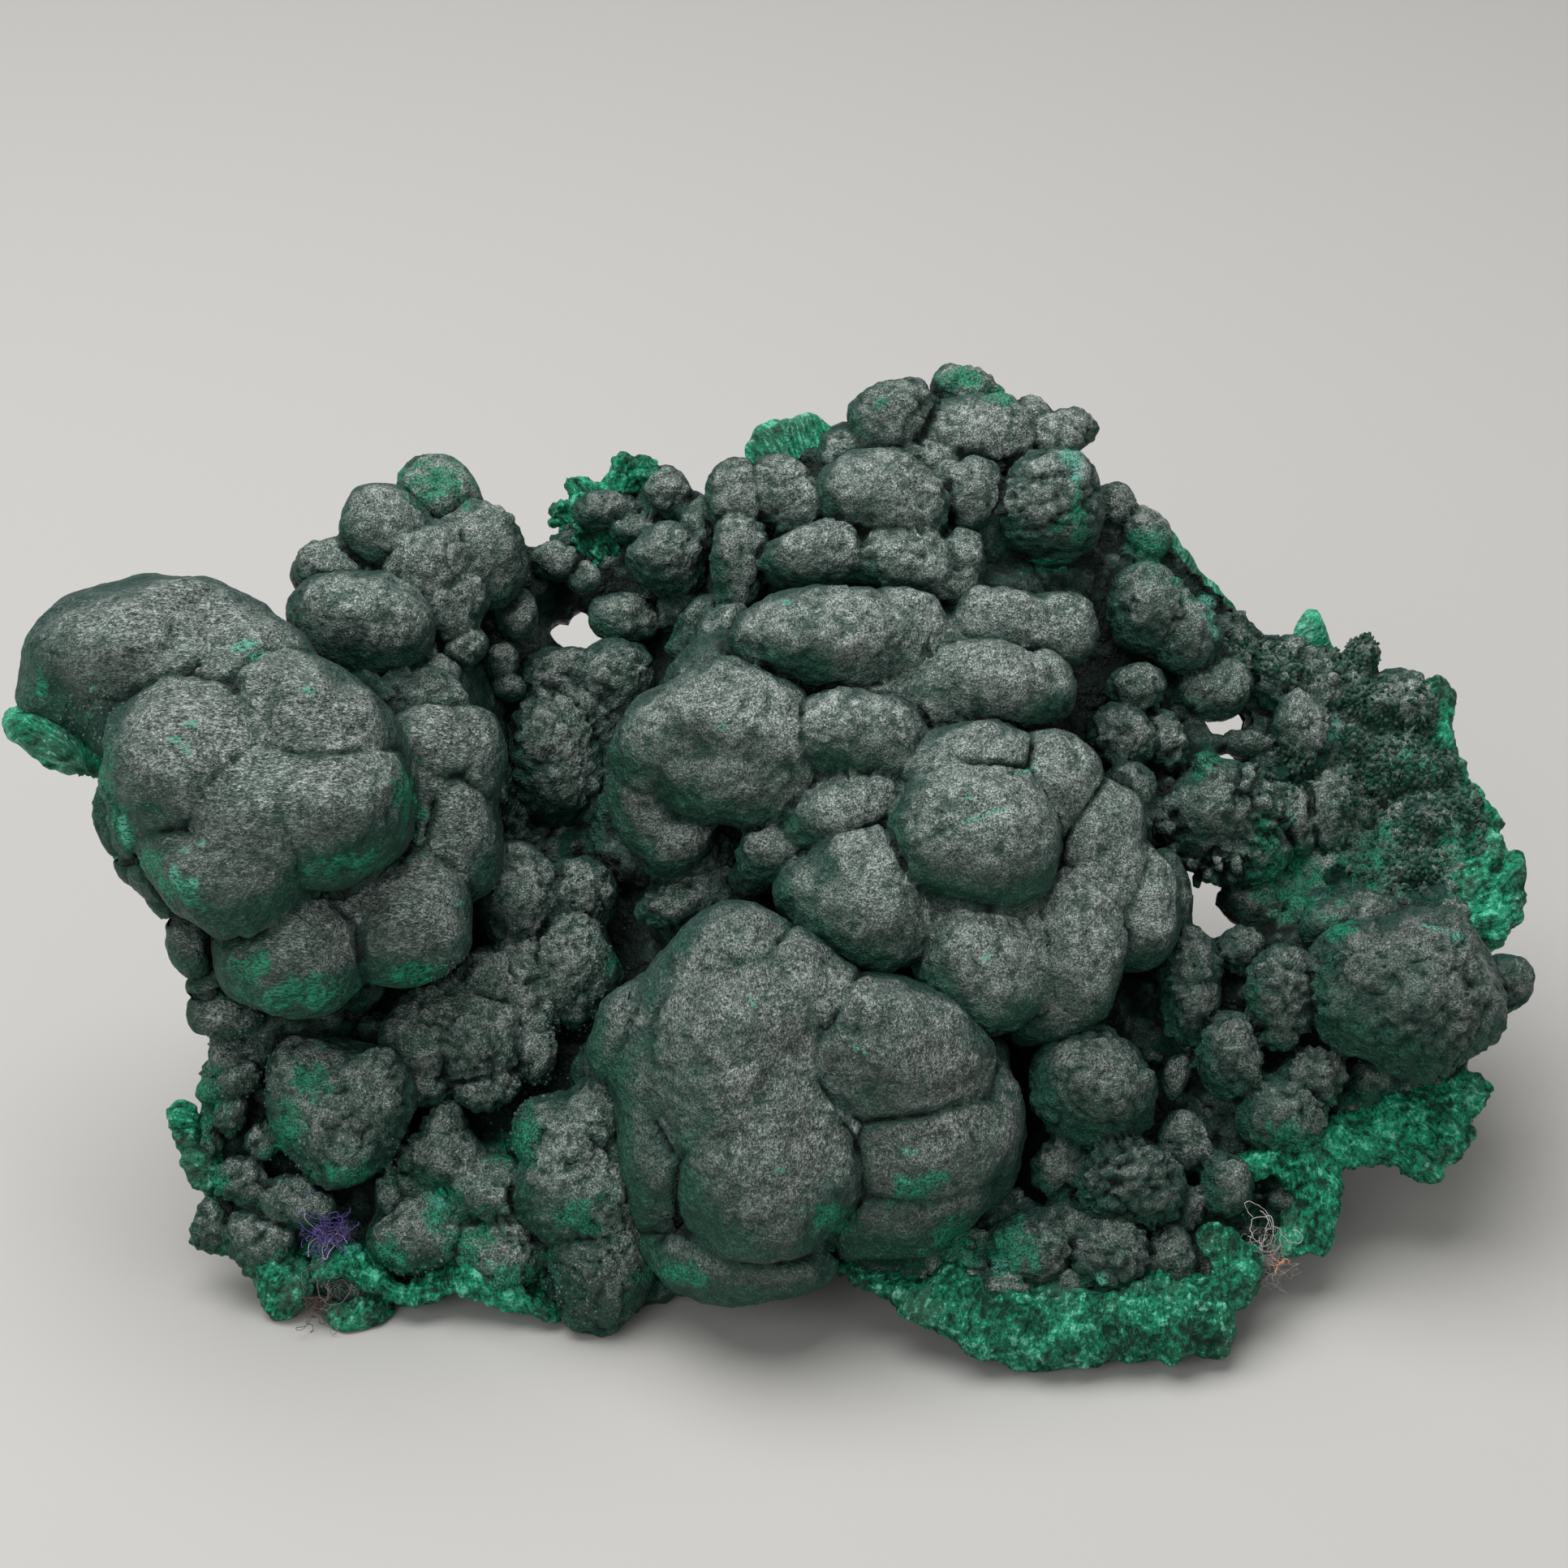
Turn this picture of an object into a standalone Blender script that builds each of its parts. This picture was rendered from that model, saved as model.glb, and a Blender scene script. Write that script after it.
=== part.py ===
"""Velvet malachite: one grown crust of round lobes, broken along its edges, standing on its broken foot.

Places on the face are measured as it is seen from the front, 30 degrees above the table:
across to the right and up from the front foot, toward the viewer, all in millimetres at the foot's distance.
"""

import math
import random

import bmesh
import bpy
import numpy as np
from mathutils import Matrix, Vector

MM = 0.001
VIEW_RISE = math.radians(30.0)
VIEW_DISTANCE = 450.0
VIEW_MIDDLE_UP = 72.4
FOOTPRINT_MIDDLE = (-0.04, 51.17)

VOXEL = 1.0
TRIANGLES = 9700
CRUST_STEP = 1.6
CRUST_THICKNESS = 5.0
CRUST_BLEND = 7.0

RIGHT = Vector((1.0, 0.0, 0.0))
UP = Vector((0.0, math.sin(VIEW_RISE), math.cos(VIEW_RISE)))
TOWARD = Vector((0.0, -math.cos(VIEW_RISE), math.sin(VIEW_RISE)))

# Lobes: across, up, toward, half width, half height, roll in degrees. Each is about as deep as it is wide.

LEFT_ARM = [
    (-77.6, 88.6, -6.5, 15.8, 9.6, 0),
    (-87.4, 84.8, -8.0, 7.4, 5.8, 35),
    (-80.0, 83.4, -5.0, 8.0, 7.6, 0),
    (-67.5, 85.0, -5.0, 10.5, 9.4, 0),
    (-73.0, 75.0, 3.8, 10.4, 10.2, 0),
    (-58.4, 79.8, 2.4, 10.4, 8.2, -24),
    (-56.6, 69.8, 4.4, 11.4, 8.9, -8),
    (-69.0, 62.0, 4.6, 9.6, 8.2, -8),
    (-65.4, 68.6, 5.4, 9.6, 9.0, 0),
    (-79.0, 71.0, 0.6, 4.8, 6.0, 0),
    (-62.0, 72.0, -6.5, 16.0, 13.0, 0),
    (-60.8, 51.9, -2.0, 9.1, 8.2, 10),
    (-45.4, 54.9, -5.4, 7.1, 8.0, 0),
    (-53.0, 57.0, -9.0, 10.0, 8.0, 0),
    (-43.2, 77.2, -9.6, 5.6, 4.5, -5),
    (-38.6, 76.2, -13.0, 4.4, 6.6, 0),
    (-41.2, 67.0, -10.4, 4.8, 6.3, 0),
    (-38.8, 65.6, -13.4, 4.4, 7.4, 0),
    (-46.0, 70.0, -14.0, 8.0, 10.0, 0),
    (-83.3, 68.2, 0.0, 2.2, 3.1, 0),
    (-80.2, 67.0, 3.0, 2.5, 2.7, 0),
    (-80.0, 62.6, -1.0, 1.8, 1.5, 0),
    (-77.0, 62.6, 0.0, 3.2, 3.6, 0),
    (-76.2, 59.2, -3.0, 2.2, 2.4, 0),
    (-73.4, 53.0, -5.0, 2.9, 3.8, 0),
    (-71.0, 48.3, -8.0, 2.4, 1.4, 20),
    (-69.0, 44.0, -9.0, 4.7, 3.1, 0),
]

UPPER_LEFT = [
    (-52.1, 92.1, -22.0, 9.1, 7.1, -5),
    (-55.8, 98.6, -28.0, 4.4, 4.1, 0),
    (-49.0, 103.8, -28.0, 6.1, 5.1, -18),
    (-44.4, 99.2, -27.6, 5.8, 6.2, -38),
    (-41.5, 94.4, -28.0, 4.5, 5.5, -30),
    (-42.2, 107.4, -36.0, 5.9, 4.7, -24),
    (-43.2, 109.6, -37.0, 3.7, 3.0, -8),
    (-37.7, 100.6, -32.6, 6.0, 7.2, 12),
    (-48.0, 97.0, -34.0, 9.0, 8.0, 0),
    (-40.4, 94.5, -34.0, 2.0, 2.4, 0),
    (-33.2, 93.2, -36.0, 3.2, 3.2, 0),
    (-35.2, 87.8, -34.0, 2.4, 2.2, 0),
    (-34.2, 84.3, -34.0, 2.2, 1.8, 0),
    (-40.2, 89.3, -28.0, 3.2, 3.4, 0),
    (-43.4, 85.3, -25.0, 4.0, 3.3, 0),
    (-50.1, 83.4, -18.0, 2.2, 1.5, 0),
    (-28.5, 99.5, -44.0, 3.0, 2.8, 0),
    (-25.1, 97.6, -44.0, 2.2, 2.2, 0),
]

LEFT_VALLEY = [
    (-28.1, 75.5, -37.0, 6.4, 8.8, 0),
    (-20.8, 85.0, -39.0, 5.8, 4.8, 20),
    (-27.6, 85.2, -40.0, 5.4, 3.6, 0),
    (-24.5, 80.5, -42.0, 8.0, 7.5, 0),
    (-45.2, 40.4, -13.2, 5.8, 5.6, 0),
    (-38.2, 41.4, -13.4, 6.6, 5.8, 0),
    (-36.6, 47.4, -17.0, 5.7, 5.7, 0),
    (-41.0, 43.0, -18.0, 9.0, 7.6, 15),
    (-51.0, 42.6, -14.0, 2.4, 2.0, 0),
    (-44.2, 35.4, -12.4, 3.9, 3.2, 0),
    (-36.4, 35.2, -12.4, 4.4, 3.3, 0),
    (-30.6, 39.0, -15.0, 2.9, 3.6, 0),
    (-32.4, 45.0, -18.0, 5.0, 6.6, 0),
    (-33.0, 58.6, -22.0, 5.6, 7.4, 0),
    (-25.4, 58.0, -24.0, 5.0, 5.6, 0),
    (-26.2, 49.2, -21.0, 6.0, 7.4, 0),
    (-32.0, 50.0, -21.0, 4.6, 5.4, 0),
    (-14.1, 57.5, -18.0, 4.6, 3.0, 8),
    (-18.0, 64.0, -34.0, 7.0, 6.0, 0),
    (-8.5, 57.5, -24.0, 9.0, 8.0, 0),
    (-11.0, 66.0, -23.0, 8.0, 7.5, 0),
    (-20.5, 35.5, -16.0, 6.0, 7.0, 0),
]

LOWER_LEFT = [
    (-55.0, 32.4, -10.0, 8.7, 8.8, 0),
    (-54.8, 28.4, -5.8, 5.3, 4.6, 0),
    (-51.9, 34.4, -6.2, 5.0, 6.2, -10),
    (-59.2, 34.6, -8.0, 4.3, 6.0, 10),
    (-41.8, 30.2, -11.2, 2.9, 3.7, 0),
    (-42.0, 26.4, -10.4, 5.2, 4.1, 0),
    (-45.8, 23.8, -11.0, 2.8, 2.3, 0),
    (-48.6, 21.8, -9.6, 1.9, 3.1, 0),
    (-35.7, 22.3, -9.8, 5.0, 4.5, 0),
    (-60.2, 21.0, -9.4, 5.2, 3.0, 0),
    (-64.4, 16.5, -9.8, 4.4, 3.9, 0),
    (-67.0, 23.2, -10.0, 3.4, 3.1, 0),
    (-70.3, 17.6, -10.0, 2.5, 3.3, 0),
    (-67.5, 35.8, -11.0, 3.2, 3.0, 0),
    (-68.5, 31.5, -11.0, 2.8, 2.6, 0),
    (-71.0, 35.0, -12.0, 2.0, 2.2, 0),
    (-71.5, 28.5, -12.0, 2.2, 2.8, 0),
    (-64.2, 27.5, -10.0, 2.2, 2.2, 0),
    (-44.0, 17.0, -11.0, 8.0, 5.0, 0),
    (-35.0, 15.0, -9.0, 6.0, 5.0, 0),
    (-27.8, 29.8, -9.8, 5.6, 5.2, 0),
    (-22.4, 31.2, -10.0, 6.2, 6.4, 0),
    (-24.6, 22.6, -7.6, 7.8, 8.6, 0),
    (-22.6, 14.0, -7.0, 6.6, 7.2, 0),
    (-23.0, 9.2, -7.4, 5.0, 4.4, 0),
    (-12.5, 21.0, -7.0, 6.5, 7.0, 0),
]

FRONT_DOME = [
    (1.0, 33.0, -13.5, 20.0, 18.0, 0),
    (14.0, 33.0, -10.0, 14.0, 14.0, 0),
    (-6.1, 50.7, -3.0, 7.4, 7.2, 10),
    (-4.6, 40.6, 0.4, 10.2, 10.0, 0),
    (-4.8, 33.0, 2.0, 10.2, 9.0, 0),
    (2.8, 45.6, -0.8, 7.0, 7.8, 0),
    (13.8, 40.0, 0.8, 10.4, 8.8, -12),
    (16.4, 27.4, 0.2, 9.2, 6.8, 15),
    (14.6, 20.6, -2.4, 9.6, 5.8, 14),
    (20.4, 28.6, -2.0, 5.6, 4.6, 25),
    (24.8, 31.5, -6.0, 4.4, 8.6, -5),
    (-2.4, 24.4, 3.8, 9.9, 10.2, 0),
    (-15.0, 26.8, -2.0, 5.8, 8.8, 0),
    (-13.8, 36.0, -3.0, 5.6, 8.0, 0),
    (-20.6, 42.0, -5.0, 3.2, 5.6, -20),
    (-15.8, 41.0, -3.0, 3.2, 6.8, -20),
    (-11.8, 46.0, -5.0, 5.0, 7.0, -25),
    (-4.2, 13.6, 0.0, 9.8, 5.4, -4),
    (-11.0, 15.6, -3.6, 5.4, 5.4, 0),
]

RIDGE = [
    (9.8, 58.5, -5.0, 7.7, 8.5, -15),
    (4.4, 57.6, -6.6, 6.2, 5.2, -12),
    (12.4, 54.6, -5.0, 5.6, 5.4, 0),
    (23.8, 49.8, -4.8, 8.2, 8.8, 8),
    (29.6, 50.6, -6.0, 4.6, 7.6, -5),
    (35.4, 52.6, -7.8, 6.8, 9.8, 8),
    (32.4, 45.4, -9.0, 6.8, 5.8, 10),
    (20.8, 66.4, -3.4, 7.8, 8.8, 0),
    (26.0, 65.4, -3.2, 7.8, 8.8, 0),
    (22.4, 75.0, -7.4, 8.4, 5.0, 4),
    (18.4, 57.6, -7.6, 4.8, 4.8, 0),
    (32.4, 72.0, -9.0, 6.4, 6.8, -25),
    (37.8, 66.4, -10.6, 5.8, 6.8, -30),
    (38.6, 61.4, -10.4, 5.6, 6.8, -10),
    (43.2, 57.0, -12.6, 6.0, 8.2, 0),
    (47.0, 57.8, -19.0, 3.4, 6.4, 0),
    (-7.2, 79.4, -10.4, 8.9, 7.6, -10),
    (-14.2, 77.6, -13.4, 7.4, 7.4, 0),
    (-7.6, 72.4, -10.4, 7.8, 6.2, 0),
    (-1.2, 76.4, -10.4, 6.2, 8.2, 0),
    (-16.4, 70.6, -16.0, 5.4, 7.4, 0),
    (-13.2, 65.6, -15.0, 4.6, 4.4, 0),
    (9.1, 78.1, -9.0, 8.3, 6.0, -8),
    (7.4, 69.0, -7.6, 7.6, 4.4, 22),
    (-1.6, 64.0, -9.6, 5.2, 3.6, 25),
    (-4.4, 60.8, -13.0, 3.0, 2.5, 20),
    (25.0, 84.2, -15.0, 8.6, 6.4, -10),
    (18.9, 82.8, -14.6, 4.6, 5.2, 0),
    (32.2, 84.4, -17.0, 3.6, 5.4, -10),
    (5.6, 90.0, -17.0, 11.8, 7.0, -6),
    (-1.4, 89.6, -17.6, 6.2, 5.4, 0),
    (14.5, 92.2, -21.0, 5.3, 5.2, 0),
    (24.4, 92.6, -23.6, 3.8, 4.2, 0),
    (28.6, 91.8, -23.0, 5.3, 4.9, 0),
    (34.4, 91.6, -25.0, 4.8, 5.6, 0),
    (14.0, 66.0, -26.0, 18.0, 16.0, 0),
    (10.0, 84.0, -28.0, 18.0, 12.0, 0),
    (-6.0, 82.0, -26.0, 10.0, 9.0, 0),
]

CREST = [
    (-5.9, 107.6, -35.0, 3.9, 5.0, 0),
    (-0.8, 108.4, -35.0, 4.3, 4.7, 0),
    (1.6, 106.4, -34.0, 3.6, 4.2, 0),
    (-5.6, 99.6, -32.0, 4.4, 6.6, 0),
    (-8.0, 90.5, -30.0, 3.2, 5.4, -30),
    (13.4, 117.0, -38.0, 5.3, 4.9, 0),
    (8.0, 112.8, -40.0, 4.6, 4.0, 35),
    (22.4, 120.6, -44.0, 5.0, 3.6, -10),
    (20.4, 115.0, -38.6, 4.0, 4.1, 0),
    (26.3, 115.4, -40.0, 4.7, 4.7, 0),
    (23.2, 115.0, -38.8, 4.6, 4.8, 0),
    (18.9, 112.0, -37.0, 2.8, 2.8, 0),
    (30.4, 117.6, -43.4, 2.7, 2.6, 0),
    (35.5, 116.0, -44.0, 3.3, 2.8, -15),
    (32.0, 114.0, -43.0, 4.6, 3.6, 0),
    (32.6, 106.6, -36.0, 7.0, 7.6, 0),
    (22.8, 108.0, -34.4, 4.0, 4.8, 0),
    (12.0, 107.5, -31.0, 8.5, 6.3, -14),
    (3.9, 100.0, -27.0, 6.8, 5.4, 5),
    (15.2, 99.2, -27.0, 6.6, 5.6, -20),
    (19.0, 96.0, -27.0, 4.6, 3.4, -20),
    (21.8, 99.8, -28.4, 3.3, 4.7, 0),
    (14.0, 106.0, -44.0, 14.0, 10.0, 0),
    (26.0, 104.0, -44.0, 10.0, 9.0, 0),
    (8.0, 96.0, -38.0, 12.0, 9.0, 0),
]

UPPER_MIDDLE = [
    (-15.1, 108.6, -46.0, 3.2, 3.6, 0),
    (-22.0, 106.6, -48.0, 3.6, 3.2, 0),
    (-18.2, 103.8, -46.0, 3.0, 2.6, 0),
    (-14.4, 99.8, -41.0, 5.4, 5.0, 0),
    (-19.8, 92.4, -43.0, 4.2, 2.9, -15),
    (-15.0, 93.0, -45.0, 3.0, 3.4, 0),
    (-10.5, 103.0, -44.0, 3.4, 5.0, 0),
    (-12.0, 94.5, -44.0, 4.0, 4.5, 0),
    (-11.4, 106.2, -48.0, 2.0, 2.8, 0),
]

RIGHT_WING = [
    (44.6, 94.2, -37.0, 5.4, 5.6, 0),
    (49.6, 90.6, -38.0, 5.0, 5.2, 0),
    (47.2, 92.6, -38.0, 4.8, 5.0, 0),
    (41.0, 105.8, -46.0, 3.3, 3.5, 0),
    (45.0, 103.0, -46.0, 3.5, 3.3, 0),
    (43.4, 84.0, -34.0, 4.0, 3.4, 0),
    (52.7, 83.8, -40.0, 5.3, 4.1, 12),
    (41.2, 78.0, -30.0, 4.5, 4.3, 0),
    (47.0, 77.4, -33.0, 3.2, 3.8, 0),
    (50.5, 73.8, -35.0, 3.0, 2.2, 0),
    (56.8, 77.3, -40.0, 3.2, 2.0, 0),
    (63.9, 79.0, -41.0, 3.9, 5.2, 0),
    (66.4, 84.5, -44.0, 3.8, 3.6, 0),
    (60.6, 84.6, -44.0, 3.9, 3.7, 0),
    (71.2, 83.0, -43.0, 2.4, 3.2, 0),
    (71.4, 87.8, -46.0, 2.3, 2.7, 0),
    (70.2, 85.2, -45.0, 3.0, 3.0, 0),
    (61.2, 88.6, -46.0, 3.2, 2.6, 0),
    (76.0, 84.0, -44.0, 3.4, 2.6, 0),
    (77.2, 81.4, -43.6, 4.2, 3.8, 0),
    (69.8, 77.4, -42.0, 1.6, 2.8, 0),
    (53.8, 68.8, -29.4, 7.2, 6.6, 0),
    (52.8, 69.8, -26.4, 5.0, 4.8, 0),
    (56.2, 64.2, -30.0, 6.6, 4.8, -10),
    (62.0, 67.0, -34.0, 4.2, 5.0, 0),
    (67.0, 68.6, -34.0, 3.6, 5.4, 0),
    (42.2, 71.4, -24.0, 3.8, 4.4, 0),
    (43.4, 67.4, -24.0, 3.2, 3.3, 0),
    (58.0, 57.6, -31.0, 5.0, 3.0, -15),
    (76.0, 74.0, -42.0, 6.0, 5.0, 0),
    (80.0, 68.0, -40.0, 6.0, 5.0, 0),
    (78.0, 61.5, -36.0, 7.0, 3.2, 0),
]

LOWER_RIGHT = [
    (38.3, 35.2, -7.0, 8.7, 7.8, -5),
    (49.6, 47.2, -16.0, 4.1, 7.8, 0),
    (48.2, 36.6, -12.0, 1.8, 2.8, 0),
    (49.2, 28.6, -10.0, 3.8, 4.2, 0),
    (54.8, 39.2, -12.0, 4.3, 5.6, 0),
    (61.6, 46.8, -13.0, 4.9, 5.9, 0),
    (61.6, 42.0, -12.0, 2.7, 2.3, 0),
    (55.8, 52.0, -19.0, 3.4, 3.2, 0),
    (70.0, 55.0, -18.0, 6.6, 4.4, 10),
    (78.6, 46.4, -10.0, 9.4, 10.8, 0),
    (71.6, 46.9, -10.6, 6.8, 9.2, 8),
    (89.2, 48.0, -18.6, 3.6, 3.8, -10),
    (65.2, 36.3, -12.0, 4.2, 3.8, 0),
    (61.4, 32.2, -11.0, 5.4, 5.0, 0),
    (54.2, 23.4, -7.0, 3.3, 4.4, 0),
    (42.6, 23.3, -5.0, 6.8, 6.0, 0),
    (33.9, 25.0, -7.0, 3.8, 3.9, 0),
    (49.4, 20.2, -7.0, 2.0, 3.0, 0),
    (40.0, 13.9, -3.0, 5.2, 5.0, 0),
    (30.2, 14.6, -3.0, 5.4, 4.8, 0),
    (34.0, 17.0, -7.0, 7.0, 4.0, 0),
    (47.6, 14.2, -5.0, 3.2, 4.2, 0),
    (44.6, 8.3, -2.0, 2.3, 2.3, 0),
    (48.9, 8.8, -3.0, 2.3, 2.3, 0),
    (21.2, 15.2, -5.0, 3.1, 3.1, 0),
    (26.0, 19.0, -10.0, 5.0, 5.0, 0),
]

# Broken edges: across, up, toward, half width, half height, half depth, roll.

BROKEN_EDGES = [
    (-88.5, 77.3, -9.0, 8.0, 3.6, 5.0, -6),
    (-73.0, 30.0, -12.0, 1.8, 2.6, 2.0, 15),
    (-62.2, 11.0, -9.6, 3.1, 4.7, 3.4, 18),
    (-62.0, 14.5, -10.0, 4.0, 3.0, 3.6, 0),
    (-53.0, 8.8, -9.4, 4.0, 3.2, 4.4, 0),
    (-51.0, 12.0, -9.0, 4.6, 2.6, 4.0, -30),
    (-43.5, 10.8, -9.0, 4.0, 2.6, 3.6, 0),
    (-34.5, 11.0, -9.0, 4.4, 2.6, 3.6, -15),
    (-28.5, 8.8, -8.4, 3.6, 2.8, 3.8, -25),
    (1.0, 114.2, -44.0, 5.6, 3.4, 2.4, 0),
    (-19.4, 109.8, -48.0, 2.6, 3.0, 2.0, 0),
    (-27.0, 105.6, -49.0, 2.4, 1.5, 1.8, 0),
    (-24.0, 102.0, -49.0, 3.6, 3.6, 2.6, 0),
    (46.8, 100.2, -48.0, 4.6, 2.4, 2.4, -39),
    (52.2, 95.8, -49.0, 5.0, 2.2, 2.4, -41),
    (57.8, 91.0, -49.0, 3.4, 2.4, 2.4, -35),
    (65.6, 90.4, -49.0, 4.4, 2.8, 2.2, -25),
    (79.8, 83.8, -44.0, 2.2, 2.4, 2.0, 0),
    (80.2, 78.6, -42.0, 2.0, 4.0, 2.4, 0),
    (83.4, 72.6, -40.0, 2.8, 3.6, 2.4, 30),
    (86.4, 66.9, -38.0, 2.6, 3.8, 2.4, 15),
    (86.6, 60.4, -33.0, 5.0, 5.0, 3.0, 20),
    (86.8, 55.6, -30.0, 4.0, 4.4, 3.0, 0),
    (85.8, 43.6, -19.0, 2.8, 3.0, 3.0, 0),
    (78.6, 31.6, -16.0, 8.8, 4.6, 3.4, 18),
    (78.4, 26.8, -15.0, 4.4, 3.0, 3.0, 10),
    (71.0, 28.5, -14.0, 5.0, 3.8, 3.2, 0),
    (56.8, 27.6, -11.0, 3.4, 2.6, 3.0, 0),
    (61.8, 26.4, -11.0, 3.4, 2.6, 3.0, 0),
    (65.8, 23.4, -11.0, 2.6, 3.2, 3.0, 0),
    (65.4, 18.4, -10.0, 2.2, 3.2, 2.8, 0),
    (62.4, 15.6, -9.0, 3.0, 1.9, 2.4, 10),
    (55.3, 14.2, -5.0, 3.0, 5.0, 3.4, 35),
    (54.6, 9.4, -3.0, 3.4, 4.0, 4.0, 30),
    (50.6, 4.8, -1.0, 4.4, 3.4, 4.4, 20),
    (43.5, 4.2, 0.2, 5.0, 3.6, 4.8, 0),
    (36.0, 3.8, 0.4, 5.4, 3.8, 5.0, 0),
    (28.5, 4.6, 0.0, 5.2, 3.8, 4.8, 0),
    (21.8, 6.6, 0.0, 4.6, 4.0, 4.4, -30),
    (15.8, 9.4, -2.0, 4.8, 2.6, 3.8, -30),
    (9.8, 12.2, -4.0, 4.4, 1.8, 3.0, -20),
]

# Rear foot, out of sight from the front: right, back and up from the table, half sizes.

REAR_FOOT = [
    (10.0, 42.0, 12.0, 18.0, 15.0, 17.0),
    (15.0, 64.0, 14.0, 21.0, 20.0, 20.0),
    (5.0, 80.0, 15.0, 15.0, 13.0, 19.0),
    (25.0, 79.0, 11.0, 14.0, 13.0, 16.0),
    (10.0, 56.0, 34.0, 17.0, 17.0, 21.0),
    (20.0, 72.0, 38.0, 17.0, 17.0, 22.0),
    (3.0, 76.0, 46.0, 14.0, 14.0, 20.0),
    (26.0, 82.0, 57.0, 13.0, 11.0, 15.0),
    (11.0, 86.0, 64.0, 16.0, 10.0, 13.0),
    (-10.0, 72.0, 40.0, 12.0, 9.0, 12.0),
    (40.0, 66.0, 36.0, 11.0, 9.0, 12.0),
]
LUMPS_PER_MASS = 16
LUMP_HALVES = (3.2, 7.0)
BACK_LUMP_STEP = 10.5
RANDOM_SEED = 11

# The crust between the lobes: its depth toward the viewer at places across and up.

CRUST_DEPTHS = [
    (-56.0, 8.0, -11.0), (-66.0, 20.0, -14.0), (-62.0, 30.0, -17.0), (-70.0, 45.0, -12.0),
    (-62.0, 55.0, -10.0), (-65.0, 70.0, -5.0), (-80.0, 80.0, -10.0), (-52.0, 82.0, -14.0),
    (-45.0, 70.0, -20.0), (-52.0, 95.0, -34.0), (-42.0, 104.0, -42.0), (-30.0, 100.0, -50.0),
    (-28.0, 76.0, -44.0), (-25.0, 90.0, -50.0), (-20.0, 104.0, -50.0), (-32.0, 55.0, -32.0),
    (-24.0, 62.0, -36.0), (-42.0, 42.0, -22.0), (-30.0, 38.0, -22.0), (-46.0, 25.0, -17.0),
    (-32.0, 22.0, -15.0), (-38.0, 12.0, -12.0), (-23.0, 8.0, -9.0), (-20.0, 20.0, -13.0),
    (-10.0, 30.0, -18.0), (-2.0, 12.0, -7.0), (8.0, 13.0, -7.0), (10.0, 35.0, -20.0),
    (-8.0, 52.0, -22.0), (10.0, 55.0, -20.0), (-12.0, 70.0, -24.0), (12.0, 72.0, -20.0),
    (5.0, 88.0, -30.0), (20.0, 90.0, -30.0), (2.0, 105.0, -42.0), (20.0, 110.0, -46.0),
    (32.0, 110.0, -46.0), (30.0, 98.0, -38.0), (30.0, 60.0, -20.0), (30.0, 45.0, -18.0),
    (22.0, 6.0, -2.0), (36.0, 4.0, 0.0), (50.0, 6.0, -3.0), (38.0, 20.0, -12.0),
    (30.0, 28.0, -16.0), (46.0, 32.0, -18.0), (56.0, 28.0, -14.0), (59.5, 20.0, -17.0),
    (44.0, 48.0, -19.0), (56.0, 46.0, -18.0), (44.0, 66.0, -30.0), (52.0, 58.0, -34.0),
    (58.0, 66.0, -38.0), (50.0, 80.0, -40.0), (44.0, 90.0, -42.0), (46.0, 102.0, -48.0),
    (58.0, 90.0, -48.0), (66.0, 82.0, -46.0), (74.0, 72.0, -42.0), (80.0, 80.0, -43.0),
    (86.0, 66.0, -38.0), (84.0, 56.0, -30.0), (70.0, 58.0, -28.0), (76.0, 46.0, -18.0),
    (66.0, 36.0, -18.0), (78.0, 32.0, -17.0),
]

CRUST_OUTLINE = [
    (-86.0, 76.0), (-84.0, 84.0), (-74.0, 88.0), (-62.0, 87.0), (-56.0, 92.0), (-54.0, 101.0),
    (-46.0, 107.0), (-38.0, 107.0), (-31.0, 101.0), (-27.0, 104.0), (-20.0, 109.0), (-13.0, 107.0),
    (-9.0, 104.0), (-6.0, 108.0), (2.0, 113.0), (12.0, 117.0), (22.0, 119.0), (34.0, 115.0),
    (37.0, 108.0), (43.0, 105.0), (51.0, 98.0), (58.0, 90.5), (66.0, 90.0), (72.0, 85.0),
    (80.0, 84.0), (81.5, 76.0), (86.0, 70.0), (87.5, 58.0), (86.0, 46.0), (83.0, 33.0),
    (78.0, 27.0), (70.0, 27.0), (66.0, 20.0), (62.0, 15.0), (57.0, 9.0), (51.0, 4.0),
    (36.0, 2.5), (24.0, 4.0), (16.0, 9.0), (8.0, 12.5), (-2.0, 11.5), (-12.0, 10.0),
    (-20.0, 7.0), (-28.0, 8.5), (-36.0, 11.5), (-44.0, 11.0), (-52.0, 8.5), (-62.0, 10.0),
    (-66.0, 16.0), (-71.0, 22.0), (-72.0, 34.0), (-70.0, 44.0), (-73.0, 54.0), (-78.0, 62.0),
    (-83.0, 70.0),
]

# Gaps that go right through the crust: across, up, half width, half height.

CRUST_GAPS = [
    (-25.2, 90.6, 3.6, 2.4),
    (-59.8, 12.0, 2.2, 2.2),
    (53.4, 79.6, 3.8, 2.0),
    (54.6, 74.9, 2.8, 1.8),
    (51.6, 57.6, 5.0, 5.4),
    (68.7, 59.3, 1.8, 1.8),
]


def place(across, up, toward):
    """World place of a point of the face, which the lens draws smaller the further back it is."""
    spread = 1.0 - toward / VIEW_DISTANCE
    true_up = VIEW_MIDDLE_UP + (up - VIEW_MIDDLE_UP) * spread
    return RIGHT * (across * spread) + UP * true_up + TOWARD * toward


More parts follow.
